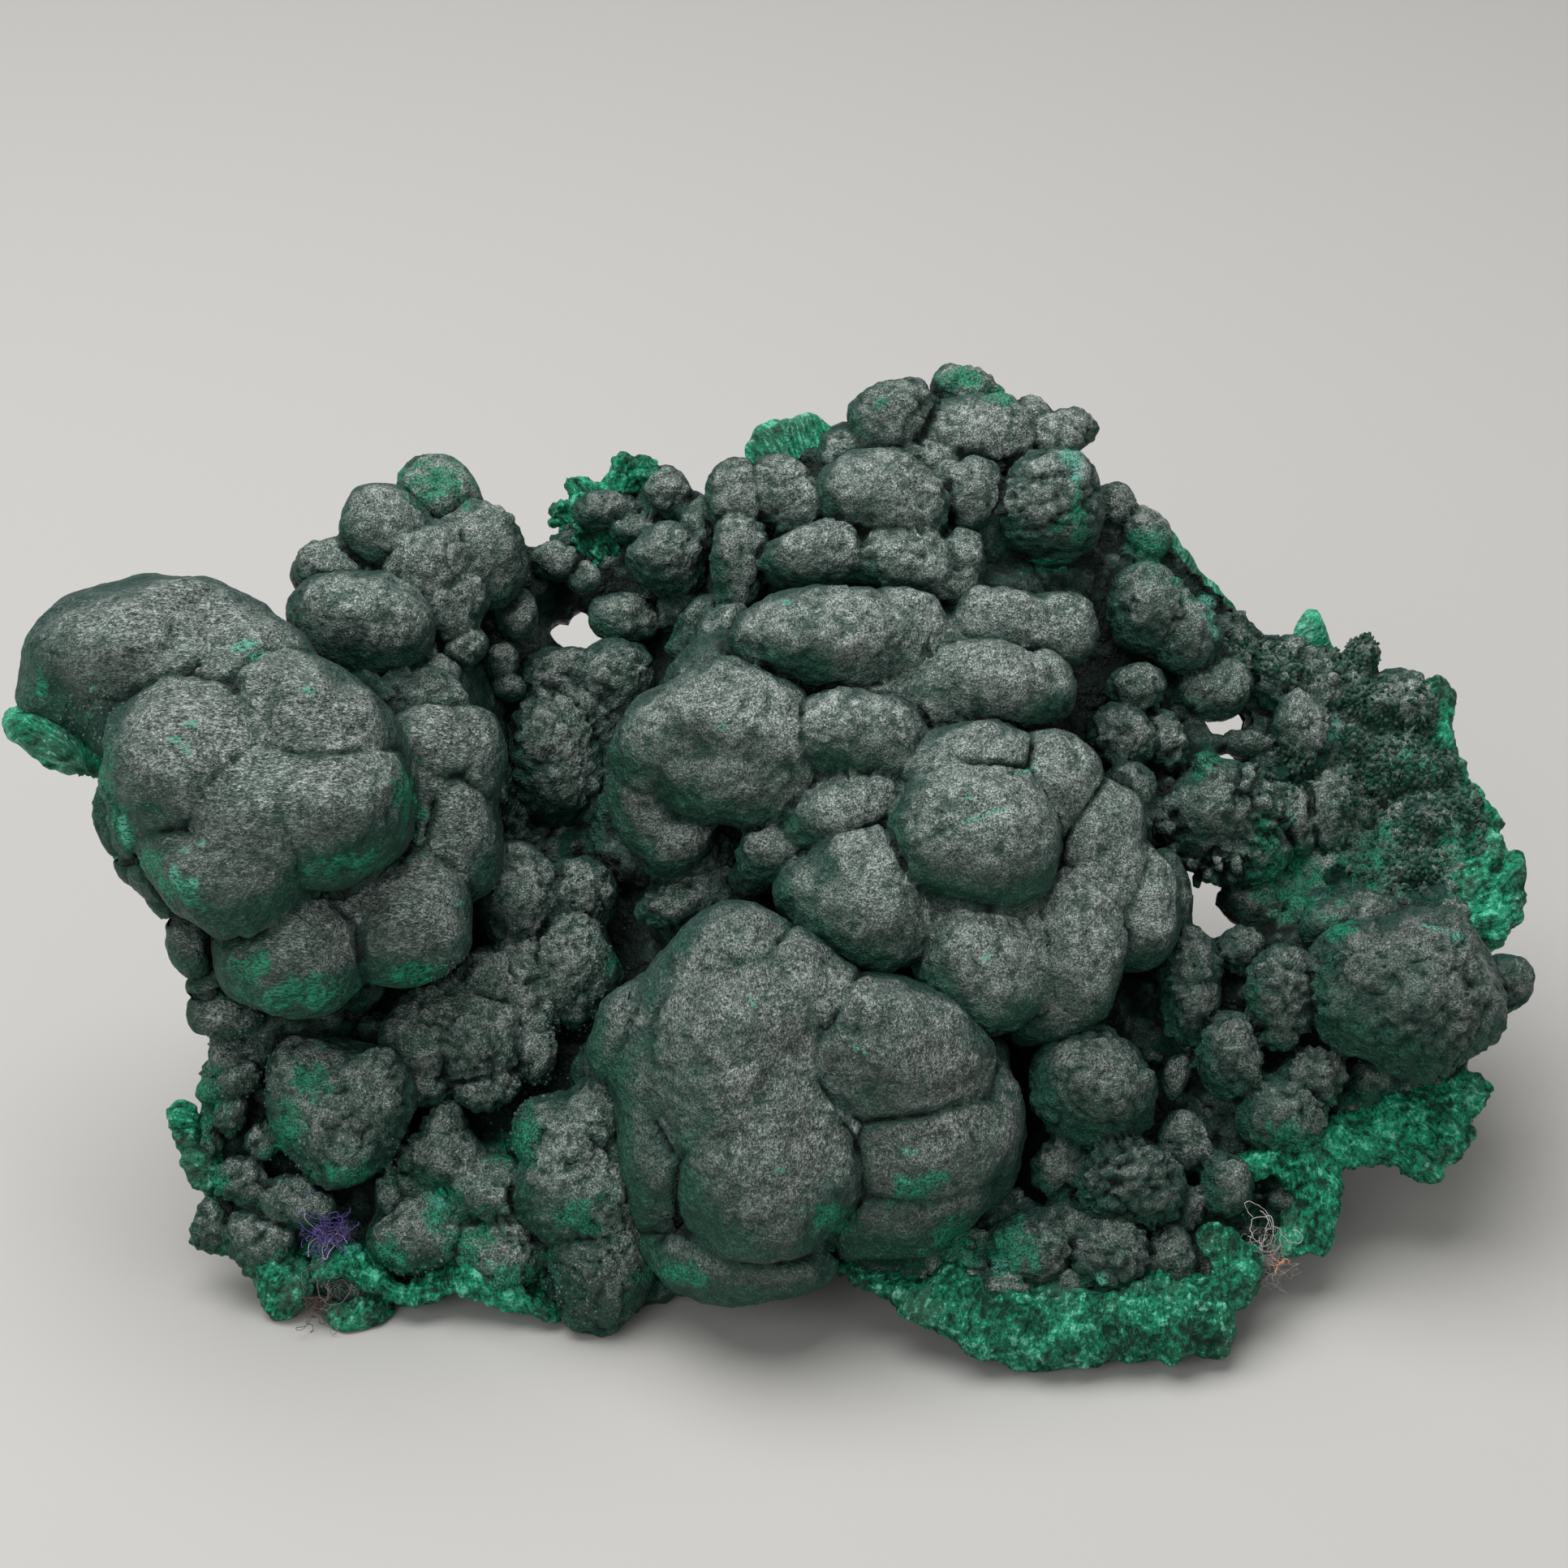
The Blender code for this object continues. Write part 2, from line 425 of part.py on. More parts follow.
def add_ellipsoid(bm, centre, axes, halves):
    """A closed ellipsoid: its centre and half sizes in millimetres, its three axes as unit vectors."""
    columns = [axis * half * MM for axis, half in zip(axes, halves)]
    turn = Matrix([column for column in columns]).transposed().to_4x4()
    matrix = Matrix.Translation(centre * MM) @ turn
    bmesh.ops.create_icosphere(bm, subdivisions=4 if max(halves) > 8.0 else 3, radius=1.0, matrix=matrix)


def add_lobe(bm, across, up, toward, half_across, half_up, roll, half_toward=None):
    spread = 1.0 - toward / VIEW_DISTANCE
    turn = Matrix.Rotation(math.radians(roll), 3, TOWARD)
    axes = (turn @ RIGHT, turn @ UP, TOWARD)
    depth = half_toward or 0.5 * (half_across + half_up)
    halves = (half_across * spread, half_up * spread, depth * spread)
    add_ellipsoid(bm, place(across, up, toward), axes, halves)


def inside_outline(across, up):
    """Whether a place on the face lies inside the crust's outline, by counting the edges to its right."""
    inside = False
    for (a0, u0), (a1, u1) in zip(CRUST_OUTLINE, CRUST_OUTLINE[1:] + CRUST_OUTLINE[:1]):
        if (u0 > up) != (u1 > up) and across < a0 + (up - u0) / (u1 - u0) * (a1 - a0):
            inside = not inside
    return inside


def in_a_gap(across, up):
    return any(math.hypot((across - a) / w, (up - u) / h) < 1.0 for a, u, w, h in CRUST_GAPS)


def crust_depth(across, up):
    """The crust's depth at a place, blended from the known places round it."""
    known = np.array(CRUST_DEPTHS)
    distance = np.hypot(known[:, 0] - across, known[:, 1] - up)
    weight = np.exp(-0.5 * (distance / CRUST_BLEND) ** 2) + 1e-9
    return float((weight * known[:, 2]).sum() / weight.sum())


def add_crust(bm):
    """The thin crust between the lobes: square cells inside the outline, with a front, a back and sides."""
    across_cells = range(int(-90 / CRUST_STEP), int(92 / CRUST_STEP))
    up_cells = range(int(0 / CRUST_STEP), int(122 / CRUST_STEP))
    cells = set()
    for i in across_cells:
        for j in up_cells:
            across, up = (i + 0.5) * CRUST_STEP, (j + 0.5) * CRUST_STEP
            if inside_outline(across, up) and not in_a_gap(across, up):
                cells.add((i, j))
    corners = {}

    def corner(i, j, side):
        if (i, j, side) not in corners:
            across, up = i * CRUST_STEP, j * CRUST_STEP
            toward = crust_depth(across, up) + side * 0.5 * CRUST_THICKNESS
            corners[i, j, side] = bm.verts.new(place(across, up, toward) * MM)
        return corners[i, j, side]

    for i, j in cells:
        ring = [(i, j), (i + 1, j), (i + 1, j + 1), (i, j + 1)]
        bm.faces.new([corner(*at, 1) for at in ring])
        bm.faces.new([corner(*at, -1) for at in reversed(ring)])
        for at, other, beside in zip(ring, ring[1:] + ring[:1], [(0, -1), (1, 0), (0, 1), (-1, 0)]):
            if (i + beside[0], j + beside[1]) not in cells:
                bm.faces.new([corner(*at, 1), corner(*at, -1), corner(*other, -1), corner(*other, 1)])


def face_place(point):
    """The across, up and toward of a world place: the reverse of place."""
    toward = point.dot(TOWARD)
    spread = 1.0 - toward / VIEW_DISTANCE
    across = point.x / spread
    return across, VIEW_MIDDLE_UP + (point.dot(UP) - VIEW_MIDDLE_UP) / spread, toward


def behind_the_crust(point, radius):
    across, up, toward = face_place(point)
    covered = all(inside_outline(across + a * radius, up + radius) for a in (-1.0, 0.0, 1.0))
    return covered and toward < crust_depth(across, up) - radius


def add_rear_foot(bm, chance):
    """The mass behind the ridge that stands on the table, with smaller lumps grown all over it."""
    world_axes = (RIGHT, Vector((0.0, 1.0, 0.0)), Vector((0.0, 0.0, 1.0)))
    for right, back, height, *halves in REAR_FOOT:
        centre = Vector((right, back, height))
        add_ellipsoid(bm, centre, world_axes, halves)
        for k in range(LUMPS_PER_MASS):
            rise = 1.0 - 2.0 * (k + 0.5) / LUMPS_PER_MASS
            turn = 2.4 * k + chance.uniform(-0.5, 0.5)
            level = math.sqrt(1.0 - rise * rise)
            way = Vector((math.cos(turn) * level, math.sin(turn) * level, rise))
            middle = centre + Vector([0.93 * w * half for w, half in zip(way, halves)])
            radius = chance.uniform(*LUMP_HALVES)
            if middle.z > 1.0 and behind_the_crust(middle, radius):
                add_ellipsoid(bm, middle, world_axes, [radius * chance.uniform(0.8, 1.15) for _ in range(3)])


def add_back_lumps(bm, chance):
    """Low round lumps all over the back of the crust, clear of its edges and of the gaps through it."""
    rows = int(122 / BACK_LUMP_STEP)
    columns = int(180 / BACK_LUMP_STEP)
    for row in range(rows):
        for column in range(columns):
            across = -90.0 + (column + 0.5 * (row % 2)) * BACK_LUMP_STEP + chance.uniform(-3.0, 3.0)
            up = (row + 0.5) * BACK_LUMP_STEP + chance.uniform(-3.0, 3.0)
            half = chance.uniform(4.0, 7.5)
            reach = half + 1.0
            round_it = [(across + a * reach, up + u * reach) for a in (-1, 0, 1) for u in (-1, 0, 1)]
            if all(inside_outline(*at) and not in_a_gap(*at) for at in round_it):
                toward = crust_depth(across, up) - 0.5 * CRUST_THICKNESS
                add_lobe(bm, across, up, toward, half, half * chance.uniform(0.8, 1.2), 0, 0.55 * half)


def mesh_object(name, bm):
    mesh = bpy.data.meshes.new(name)
    bm.to_mesh(mesh)
    bm.free()
    part = bpy.data.objects.new(name, mesh)
    bpy.context.scene.collection.objects.link(part)
    return part


def with_modifier(part, kind, **settings):
    """Applies one modifier to the object's own mesh."""
    modifier = part.modifiers.new(kind.title(), kind)
    for key, value in settings.items():
        setattr(modifier, key, value)
    evaluated = part.evaluated_get(bpy.context.evaluated_depsgraph_get())
    mesh = bpy.data.meshes.new_from_object(evaluated)
    part.modifiers.clear()
    part.data = mesh


def keep_largest_shell(part):
    """Drops the sealed pockets that the joined shapes leave inside, and anything loose."""
    bm = bmesh.new()
    bm.from_mesh(part.data)
    left = set(bm.verts)
    shells = []
    while left:
        shell, front = set(), [left.pop()]
        while front:
            vert = front.pop()
            shell.add(vert)
            for edge in vert.link_edges:
                other = edge.other_vert(vert)
                if other in left:
                    left.remove(other)
                    front.append(other)
        shells.append(shell)
    shells.sort(key=len)
    for shell in shells[:-1]:
        bmesh.ops.delete(bm, geom=list(shell), context="VERTS")
    bm.to_mesh(part.data)
    bm.free()


def settle_on_table(part):
    """Cuts the feet off flat where they rest, closes the cuts and moves the origin under the middle."""
    bm = bmesh.new()
    bm.from_mesh(part.data)
    everything = bm.verts[:] + bm.edges[:] + bm.faces[:]
    bmesh.ops.bisect_plane(
        bm, geom=everything, dist=1e-7, plane_co=(0, 0, 0), plane_no=(0, 0, 1), clear_inner=True
    )
    rims = [edge for edge in bm.edges if edge.is_boundary]
    bmesh.ops.holes_fill(bm, edges=rims, sides=0)
    bmesh.ops.triangulate(bm, faces=bm.faces[:])
    bmesh.ops.recalc_face_normals(bm, faces=bm.faces[:])
    bmesh.ops.translate(bm, verts=bm.verts[:], vec=Vector((*FOOTPRINT_MIDDLE, 0.0)) * -MM)
    bm.to_mesh(part.data)
    bm.free()


def velvet_malachite():
    material = bpy.data.materials.new("velvet malachite")
    material.use_nodes = True
    shader = material.node_tree.nodes["Principled BSDF"]
    shader.inputs["Base Color"].default_value = (0.03, 0.055, 0.047, 1.0)
    shader.inputs["Roughness"].default_value = 0.75
    shader.inputs["Metallic"].default_value = 0.0
    return material


def build_malachite():
    bm = bmesh.new()
    for region in (
        LEFT_ARM, UPPER_LEFT, LEFT_VALLEY, LOWER_LEFT, FRONT_DOME,
        RIDGE, CREST, UPPER_MIDDLE, RIGHT_WING, LOWER_RIGHT,
    ):
        for across, up, toward, half_across, half_up, roll in region:
            add_lobe(bm, across, up, toward, half_across, half_up, roll)
    for across, up, toward, half_across, half_up, half_toward, roll in BROKEN_EDGES:
        add_lobe(bm, across, up, toward, half_across, half_up, roll, half_toward)
    chance = random.Random(RANDOM_SEED)
    add_rear_foot(bm, chance)
    add_crust(bm)
    add_back_lumps(bm, chance)
    part = mesh_object("malachite", bm)
    with_modifier(part, "REMESH", mode="VOXEL", voxel_size=VOXEL * MM)
    keep_largest_shell(part)
    faces = 2 * len(part.data.polygons)
    with_modifier(part, "DECIMATE", ratio=TRIANGLES / faces)
    settle_on_table(part)
    part.data.materials.clear()
    part.data.materials.append(velvet_malachite())


for old in list(bpy.data.objects):
    bpy.data.objects.remove(old)
build_malachite()
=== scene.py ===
import itertools
import math
import random

import bpy
import numpy as np
from mathutils import Matrix, Vector


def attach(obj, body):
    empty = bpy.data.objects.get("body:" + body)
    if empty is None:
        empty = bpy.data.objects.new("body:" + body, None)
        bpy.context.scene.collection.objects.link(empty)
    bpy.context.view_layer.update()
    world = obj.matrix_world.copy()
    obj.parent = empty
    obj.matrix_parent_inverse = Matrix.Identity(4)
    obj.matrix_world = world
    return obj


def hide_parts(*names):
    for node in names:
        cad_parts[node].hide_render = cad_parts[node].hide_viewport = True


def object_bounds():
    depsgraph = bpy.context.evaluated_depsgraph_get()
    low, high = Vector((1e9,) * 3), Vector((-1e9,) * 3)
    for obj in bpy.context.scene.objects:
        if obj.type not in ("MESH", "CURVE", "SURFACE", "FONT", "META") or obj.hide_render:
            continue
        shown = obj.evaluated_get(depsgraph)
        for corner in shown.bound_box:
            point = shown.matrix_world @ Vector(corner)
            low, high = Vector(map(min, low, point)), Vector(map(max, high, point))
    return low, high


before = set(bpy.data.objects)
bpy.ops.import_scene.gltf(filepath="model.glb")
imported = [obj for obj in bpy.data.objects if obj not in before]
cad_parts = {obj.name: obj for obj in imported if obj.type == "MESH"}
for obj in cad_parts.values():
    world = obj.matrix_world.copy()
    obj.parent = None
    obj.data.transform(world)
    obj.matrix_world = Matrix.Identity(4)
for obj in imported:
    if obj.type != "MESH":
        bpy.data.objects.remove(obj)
cad_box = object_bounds()


# Left arm
# The arm that reaches out to the left: big smooth domes of fibrous malachite that grew into one another.
# Each lobe is a rounded primitive. They are welded under one skin, and the skin is worked.
# Places on the face are across, up and toward the viewer, in millimetres, seen 30 degrees above the table.

MM = 0.001
VIEW_RISE = math.radians(30.0)
VIEW_DISTANCE = 450.0
VIEW_MIDDLE_UP = 72.4
FOOTPRINT_MIDDLE = Vector((-0.04, 51.17, 0.0))
RIGHT = Vector((1.0, 0.0, 0.0))
UP = Vector((0.0, math.sin(VIEW_RISE), math.cos(VIEW_RISE)))
TOWARD = Vector((0.0, -math.cos(VIEW_RISE), math.sin(VIEW_RISE)))
BIG_LOBE = 9.0
SMALLEST_SHELL = 2.0 * MM ** 3
SKIN_MARGIN = 0.05


def place(across, up, toward):
    """World place, in millimetres, of a point of the face: what is further back is drawn smaller."""
    spread = 1.0 - toward / VIEW_DISTANCE
    true_up = VIEW_MIDDLE_UP + (up - VIEW_MIDDLE_UP) * spread
    return RIGHT * (across * spread) + UP * true_up + TOWARD * toward - FOOTPRINT_MIDDLE


def lobe(across, up, toward, half_across, half_up, roll=0, half_toward=None):
    """A lobe's centre, its three axes as rows, and its half sizes, in millimetres."""
    spread = 1.0 - toward / VIEW_DISTANCE
    turn = Matrix.Rotation(math.radians(roll), 3, TOWARD)
    depth = half_toward or 0.5 * (half_across + half_up)
    halves = np.array((half_across, half_up, depth)) * spread
    return np.array(place(across, up, toward)), np.array((turn @ RIGHT, turn @ UP, TOWARD)), halves


def pick(*pieces):
    bpy.ops.object.select_all(action="DESELECT")
    for piece in pieces:
        piece.select_set(True)
    bpy.context.view_layer.objects.active = pieces[0]


def add_balls(lobes, detail=4):
    """One rounded primitive for each lobe, set at its place, turned and stretched."""
    balls = []
    for centre, axes, halves in lobes:
        finer = 1 if max(halves) > BIG_LOBE else 0
        bpy.ops.mesh.primitive_ico_sphere_add(subdivisions=detail + finer, radius=MM)
        ball = bpy.context.object
        turn = Matrix((axes * halves[:, None]).tolist()).transposed().to_4x4()
        ball.matrix_world = Matrix.Translation(Vector(centre) * MM) @ turn
        balls.append(ball)
    return balls


def inner_volume(mesh):
    """The signed volume of a closed mesh: below zero for a pocket inside another skin."""
    mesh.calc_loop_triangles()
    corners = np.empty(3 * len(mesh.vertices), np.float32)
    mesh.vertices.foreach_get("co", corners)
    index = np.empty(3 * len(mesh.loop_triangles), np.int32)
    mesh.loop_triangles.foreach_get("vertices", index)
    a, b, c = corners.reshape(-1, 3)[index.reshape(-1, 3)].astype(float).transpose(1, 0, 2)
    return (a * np.cross(b, c)).sum() / 6.0


def weld(name, pieces, voxel):
    """Puts overlapping pieces under one closed skin and drops the sealed pockets inside it."""
    pick(*pieces)
    bpy.ops.object.transform_apply(location=True, rotation=True, scale=True)
    bpy.ops.object.join()
    piece = bpy.context.object
    skin = piece.modifiers.new("skin", "REMESH")
    skin.mode = "VOXEL"
    skin.voxel_size = voxel * MM
    bpy.ops.object.modifier_apply(modifier=skin.name)
    bpy.ops.object.mode_set(mode="EDIT")
    bpy.ops.mesh.select_all(action="SELECT")
    bpy.ops.mesh.separate(type="LOOSE")
    bpy.ops.object.mode_set(mode="OBJECT")
    shells = list(bpy.context.selected_objects)
    outer = [shell for shell in shells if inner_volume(shell.data) > SMALLEST_SHELL]
    for shell in shells:
        if shell not in outer:
            bpy.data.objects.remove(shell)
    pick(*outer)
    bpy.ops.object.join()
    piece = bpy.context.object
    piece.name = piece.data.name = name
    bpy.ops.object.shade_smooth()
    return piece


def skin_of(piece):
    """The vertices in millimetres and their normals."""
    count = len(piece.data.vertices)
    points = np.empty(3 * count, np.float32)
    normals = np.empty(3 * count, np.float32)
    piece.data.vertices.foreach_get("co", points)
    piece.data.vertex_normals.foreach_get("vector", normals)
    return points.reshape(-1, 3).astype(float) / MM, normals.reshape(-1, 3).astype(float)


def move_skin(piece, points):
    """Puts the vertices back, on the table and inside the outer size."""
    low, high = np.array(cad_box[0]) / MM, np.array(cad_box[1]) / MM
    points = np.clip(points, low + (SKIN_MARGIN, SKIN_MARGIN, 0.0), high - SKIN_MARGIN)
    piece.data.vertices.foreach_set("co", (points * MM).astype(np.float32).ravel())
    piece.data.update()


def scatter(cubes, seed):
    """Three even random numbers for each whole-numbered cube."""
    mixed = (cubes * np.array((73856093, 19349663, 83492791))).sum(axis=1) + seed * 7919
    mixed = mixed & 0xFFFFFFFF
    for shift, factor in ((15, 2246822519), (13, 3266489917), (16, 668265263)):
        mixed = ((mixed ^ (mixed >> shift)) * factor) & 0xFFFFFFFF
    return np.stack([(mixed >> bits & 1023) / 1023.0 for bits in (0, 11, 21)], axis=1)


def cells(points, size, seed):
    """Distances to the nearest and next of points scattered one to a cube, in cube sizes."""
    at = points / size
    home = np.floor(at).astype(np.int64)
    nearest = np.full(len(at), 9.0)
    following = nearest.copy()
    for step in itertools.product((-1, 0, 1), repeat=3):
        cube = home + np.array(step)
        gap = np.sqrt(((cube + scatter(cube, seed) - at) ** 2).sum(axis=1))
        following = np.minimum(following, np.maximum(nearest, gap))
        nearest = np.minimum(nearest, gap)
    return nearest, following


def drift(points, size, seed):
    """Smooth random numbers from -1 to 1 that change over about this many millimetres."""
    at = points / size
    home = np.floor(at).astype(np.int64)
    part = at - home
    part = part * part * (3.0 - 2.0 * part)
    total = 0.0
    for corner in itertools.product((0, 1), repeat=3):
        weight = np.prod(np.where(corner, part, 1.0 - part), axis=1)
        total = total + weight * scatter(home + np.array(corner), seed)[:, 0]
    return 2.0 * total - 1.0


def unit(ways):
    return ways / np.maximum(np.linalg.norm(ways, axis=1), 1e-6)[:, None]


def lobe_fields(points, lobes, melt):
    """For each point: the lobe that it lies on, how far it is from a seam, how far from the surface of the
    lobes melted together, that surface's outward way, and how sharp the groove is."""
    order = np.argsort(points[:, 0])
    sorted_x = points[order, 0]
    nearest = np.full(len(points), 50.0)
    following = nearest.copy()
    own = np.zeros(len(points), int)
    facing = np.zeros((len(points), 3))
    straight = facing.copy()
    total = np.zeros(len(points))
    for k, (centre, axes, halves) in enumerate(lobes):
        reach = max(halves) * 1.25 + 4.0
        start, end = np.searchsorted(sorted_x, (centre[0] - reach, centre[0] + reach))
        close = order[start:end]
        offset = points[close] - centre
        keep = (offset ** 2).sum(axis=1) < reach ** 2
        close, offset = close[keep], offset[keep]
        local = offset @ axes.T / halves
        length = np.maximum(np.sqrt((local ** 2).sum(axis=1)), 1e-6)
        gap = (length - 1.0) * halves.mean()
        outward = unit((local / halves) @ axes)
        own[close] = np.where(gap < nearest[close], k, own[close])
        straight[close] = np.where((gap < nearest[close])[:, None], outward, straight[close])
        following[close] = np.minimum(following[close], np.maximum(nearest[close], gap))
        nearest[close] = np.minimum(nearest[close], gap)
        weight = np.exp(-np.clip(gap, -8.0, 12.0) / melt)
        facing[close] += weight[:, None] * outward
        total[close] += weight
    facing = unit(facing)
    melted = -melt * np.log(np.maximum(total, 1e-9))
    groove = ramp(1.0 - (straight * facing).sum(axis=1), 0.035, 0.2)
    return own, following - nearest, melted, facing, groove


def face_of(points):
    """How far across, up and toward the viewer each point lies on the face."""
    line = points + np.array(FOOTPRINT_MIDDLE)
    toward = line @ np.array(TOWARD)
    spread = 1.0 - toward / VIEW_DISTANCE
    return line[:, 0] / spread, VIEW_MIDDLE_UP + (line @ np.array(UP) - VIEW_MIDDLE_UP) / spread, toward


def bend(points, amount, size, seed):
    """The points pushed about smoothly, so that what is measured from them isn't quite round."""
    return points + amount * np.stack([drift(points, size, seed + k) for k in (1, 2, 3)], axis=1)


def bend_twice(points, large, small, seed):
    """The points bent in large and in small waves, each given as an amount and a size."""
    return bend(bend(points, *large, seed), *small, seed + 5)


def grow_together(points, lobes, melt, large, small, seed, rounds, most):
    """Draws the points onto the surface of the lobes melted together and bent out of round."""
    for _ in range(rounds):
        _, _, melted, facing, _ = lobe_fields(bend_twice(points, large, small, seed), lobes, melt)
        points = points - np.clip(melted, -most, most)[:, None] * facing
    return points


def ramp(values, start, end):
    share = np.clip((values - start) / (end - start), 0.0, 1.0)
    return share * share * (3.0 - 2.0 * share)


def mark(piece, **values):
    """Gives the vertices named numbers that the material reads."""
    for name, numbers in values.items():
        attribute = piece.data.attributes.new(name, "FLOAT", "POINT")
        attribute.data.foreach_set("value", np.asarray(numbers, np.float32))


# Where the skin is worn or broken to bright green, and chipped to pale mint: across, up, half sizes, roll.
GREEN_PATCHES = [
    (-91.6, 84.5, 0.9, 2.4, 0), (-83.6, 73, 1.4, 3, 0), (-81.5, 67, 1.6, 3, 20), (-78.5, 62.6, 3, 1.6, -35),
    (-74.5, 59.6, 3.4, 1.5, -25), (-46.2, 69.5, 1.6, 5, 0), (-53, 62.5, 5.5, 1.3, 15),
    (-59.5, 46.6, 7, 1.9, 0), (-65.5, 49.5, 2.4, 3, -40), (-45.5, 48.6, 5, 1.3, 5),
    (-58.5, 35.5, 2.2, 2.4, 0), (-61.5, 29.5, 2.2, 4, -15), (-54, 24.4, 5, 1.4, 0), (-71.4, 35, 2.6, 3, 0),
    (-72.6, 29, 2.6, 4, 0), (-70.8, 24, 2, 3.6, 15), (-42.5, 20.5, 2.2, 2.6, 0),
    (-38.5, 15.5, 3.2, 4.6, -35), (-33.5, 11, 4.4, 3.6, 0), (-33, 29, 3.4, 3.4, 0), (-58, 14, 4.4, 1.6, 0),
    (-48, 13.6, 3.6, 2.4, -30), (-25, 19, 3.4, 3, 0), (-20.5, 51.5, 0.9, 2.6, -25), (17, 23, 4.6, 1.8, 15),
    (6, 19, 3, 2, 0), (-42.6, 109.6, 4.6, 3, 0), (21.9, 122.6, 2.6, 1.7, 0), (26.6, 120.4, 2, 1.2, 0),
    (36.6, 106, 1, 4, 0), (33, 99.4, 4, 1.1, 5), (34.4, 104.4, 2.4, 0.7, 40), (12, 119.3, 1.1, 0.5, 20),
    (45.5, 101.5, 3.4, 2.4, -30), (50, 97.6, 3, 2, -40), (51.8, 75.4, 2.2, 1.8, 0), (73, 64, 4.4, 3.8, 0),
    (63, 60.4, 5.4, 4, 0), (77.5, 74.4, 4.4, 2.4, 0), (60, 66, 1.6, 3, 0), (84, 66, 3, 8, 0),
    (28.4, 15.4, 3, 3.4, 0), (21.2, 15, 3.2, 3.2, 0), (68.4, 28, 3, 4.4, 0), (63, 29, 3.6, 2, 0),
    (-13, 12, 5, 1.6, 0), (46, 9.4, 3.4, 2.4, 0), (69, 54.5, 2, 1.4, 0),
]
MINT_CHIPS = [
    (-66.4, 89.6, 2, 0.5, 15), (-64.9, 88.8, 1.4, 0.4, 20), (-58.7, 83.6, 0.8, 0.6, 0),
    (-73.1, 79.7, 0.9, 0.4, 0), (-75.1, 77.9, 0.9, 0.5, 0), (-73.6, 76.6, 0.4, 0.9, 20),
    (-85.1, 84.2, 0.6, 0.4, 0), (-85.6, 80.8, 0.6, 0.4, 0), (-81.6, 67.2, 0.6, 1.9, 10),
    (-74.2, 64.3, 1, 0.4, -20), (-72, 65.1, 0.8, 0.3, 15), (-75.3, 61, 0.6, 1.5, 0), (-73, 60, 0.9, 0.8, 0),
    (-7.6, 79.5, 0.7, 0.5, 0), (-39.7, 57.7, 0.7, 0.4, 20), (35.6, 112.6, 1.8, 1, -30),
    (36.2, 110.6, 0.7, 0.8, 0), (-3.9, 45.5, 0.4, 0.8, 30), (8.8, 40, 0.4, 0.5, 0), (10, 39.4, 0.5, 0.3, 0),
    (-0.4, 24.8, 1, 0.5, 20), (25, 51.1, 0.6, 0.4, 0), (22.8, 71, 0.4, 0.5, 0), (25, 68.7, 3, 0.25, 20),
    (29.6, 74, 1.4, 0.25, 20), (82.4, 53.7, 1.9, 0.4, -12), (79.5, 54.6, 1.3, 0.3, -30),
    (52.4, 95.2, 1, 1.4, 10), (52.9, 91.9, 0.8, 1.8, 20), (67.9, 79.3, 0.4, 1.9, 0),
    (62.4, 68, 0.6, 0.9, 0), (38.9, 11.3, 0.8, 0.5, 0), (26.4, 13, 1, 0.8, 0), (-42.6, 21.4, 1.2, 1, -30),
    (-57, 40.3, 0.9, 0.5, 0), (0.4, 94.6, 0.8, 0.4, 0), (15.5, 27, 0.9, 0.4, 10),
    (-29.6, 11.4, 0.8, 0.5, 0), (53, 60, 0.5, 0.9, 0),
]


def cover(across, up, patches, ragged):
    """0 to 1 where places on the face lie in tilted round patches with ragged edges."""
    covered = np.zeros(len(across))
    for a, u, half_across, half_up, roll in patches:
        turn = math.radians(roll)
        right, above = across - a, up - u
        along = (right * math.cos(turn) + above * math.sin(turn)) / half_across
        over = (above * math.cos(turn) - right * math.sin(turn)) / half_up
        covered = np.maximum(covered, ramp(np.hypot(along, over) + ragged, 1.25, 0.45))
    return covered


def thin_back(piece, keep=0.25):
    """Leaves fewer faces where the skin looks away from the viewer."""
    points, normals = skin_of(piece)
    away = np.flatnonzero(normals @ np.array(TOWARD) < -0.15)
    group = piece.vertex_groups.new(name="back")
    group.add(away.tolist(), 1.0, "REPLACE")
    fewer = piece.modifiers.new("fewer", "DECIMATE")
    fewer.vertex_group = group.name
    fewer.ratio = 1.0 - (1.0 - keep) * len(away) / len(points)
    pick(piece)
    bpy.ops.object.modifier_apply(modifier=fewer.name)
    piece.vertex_groups.clear()


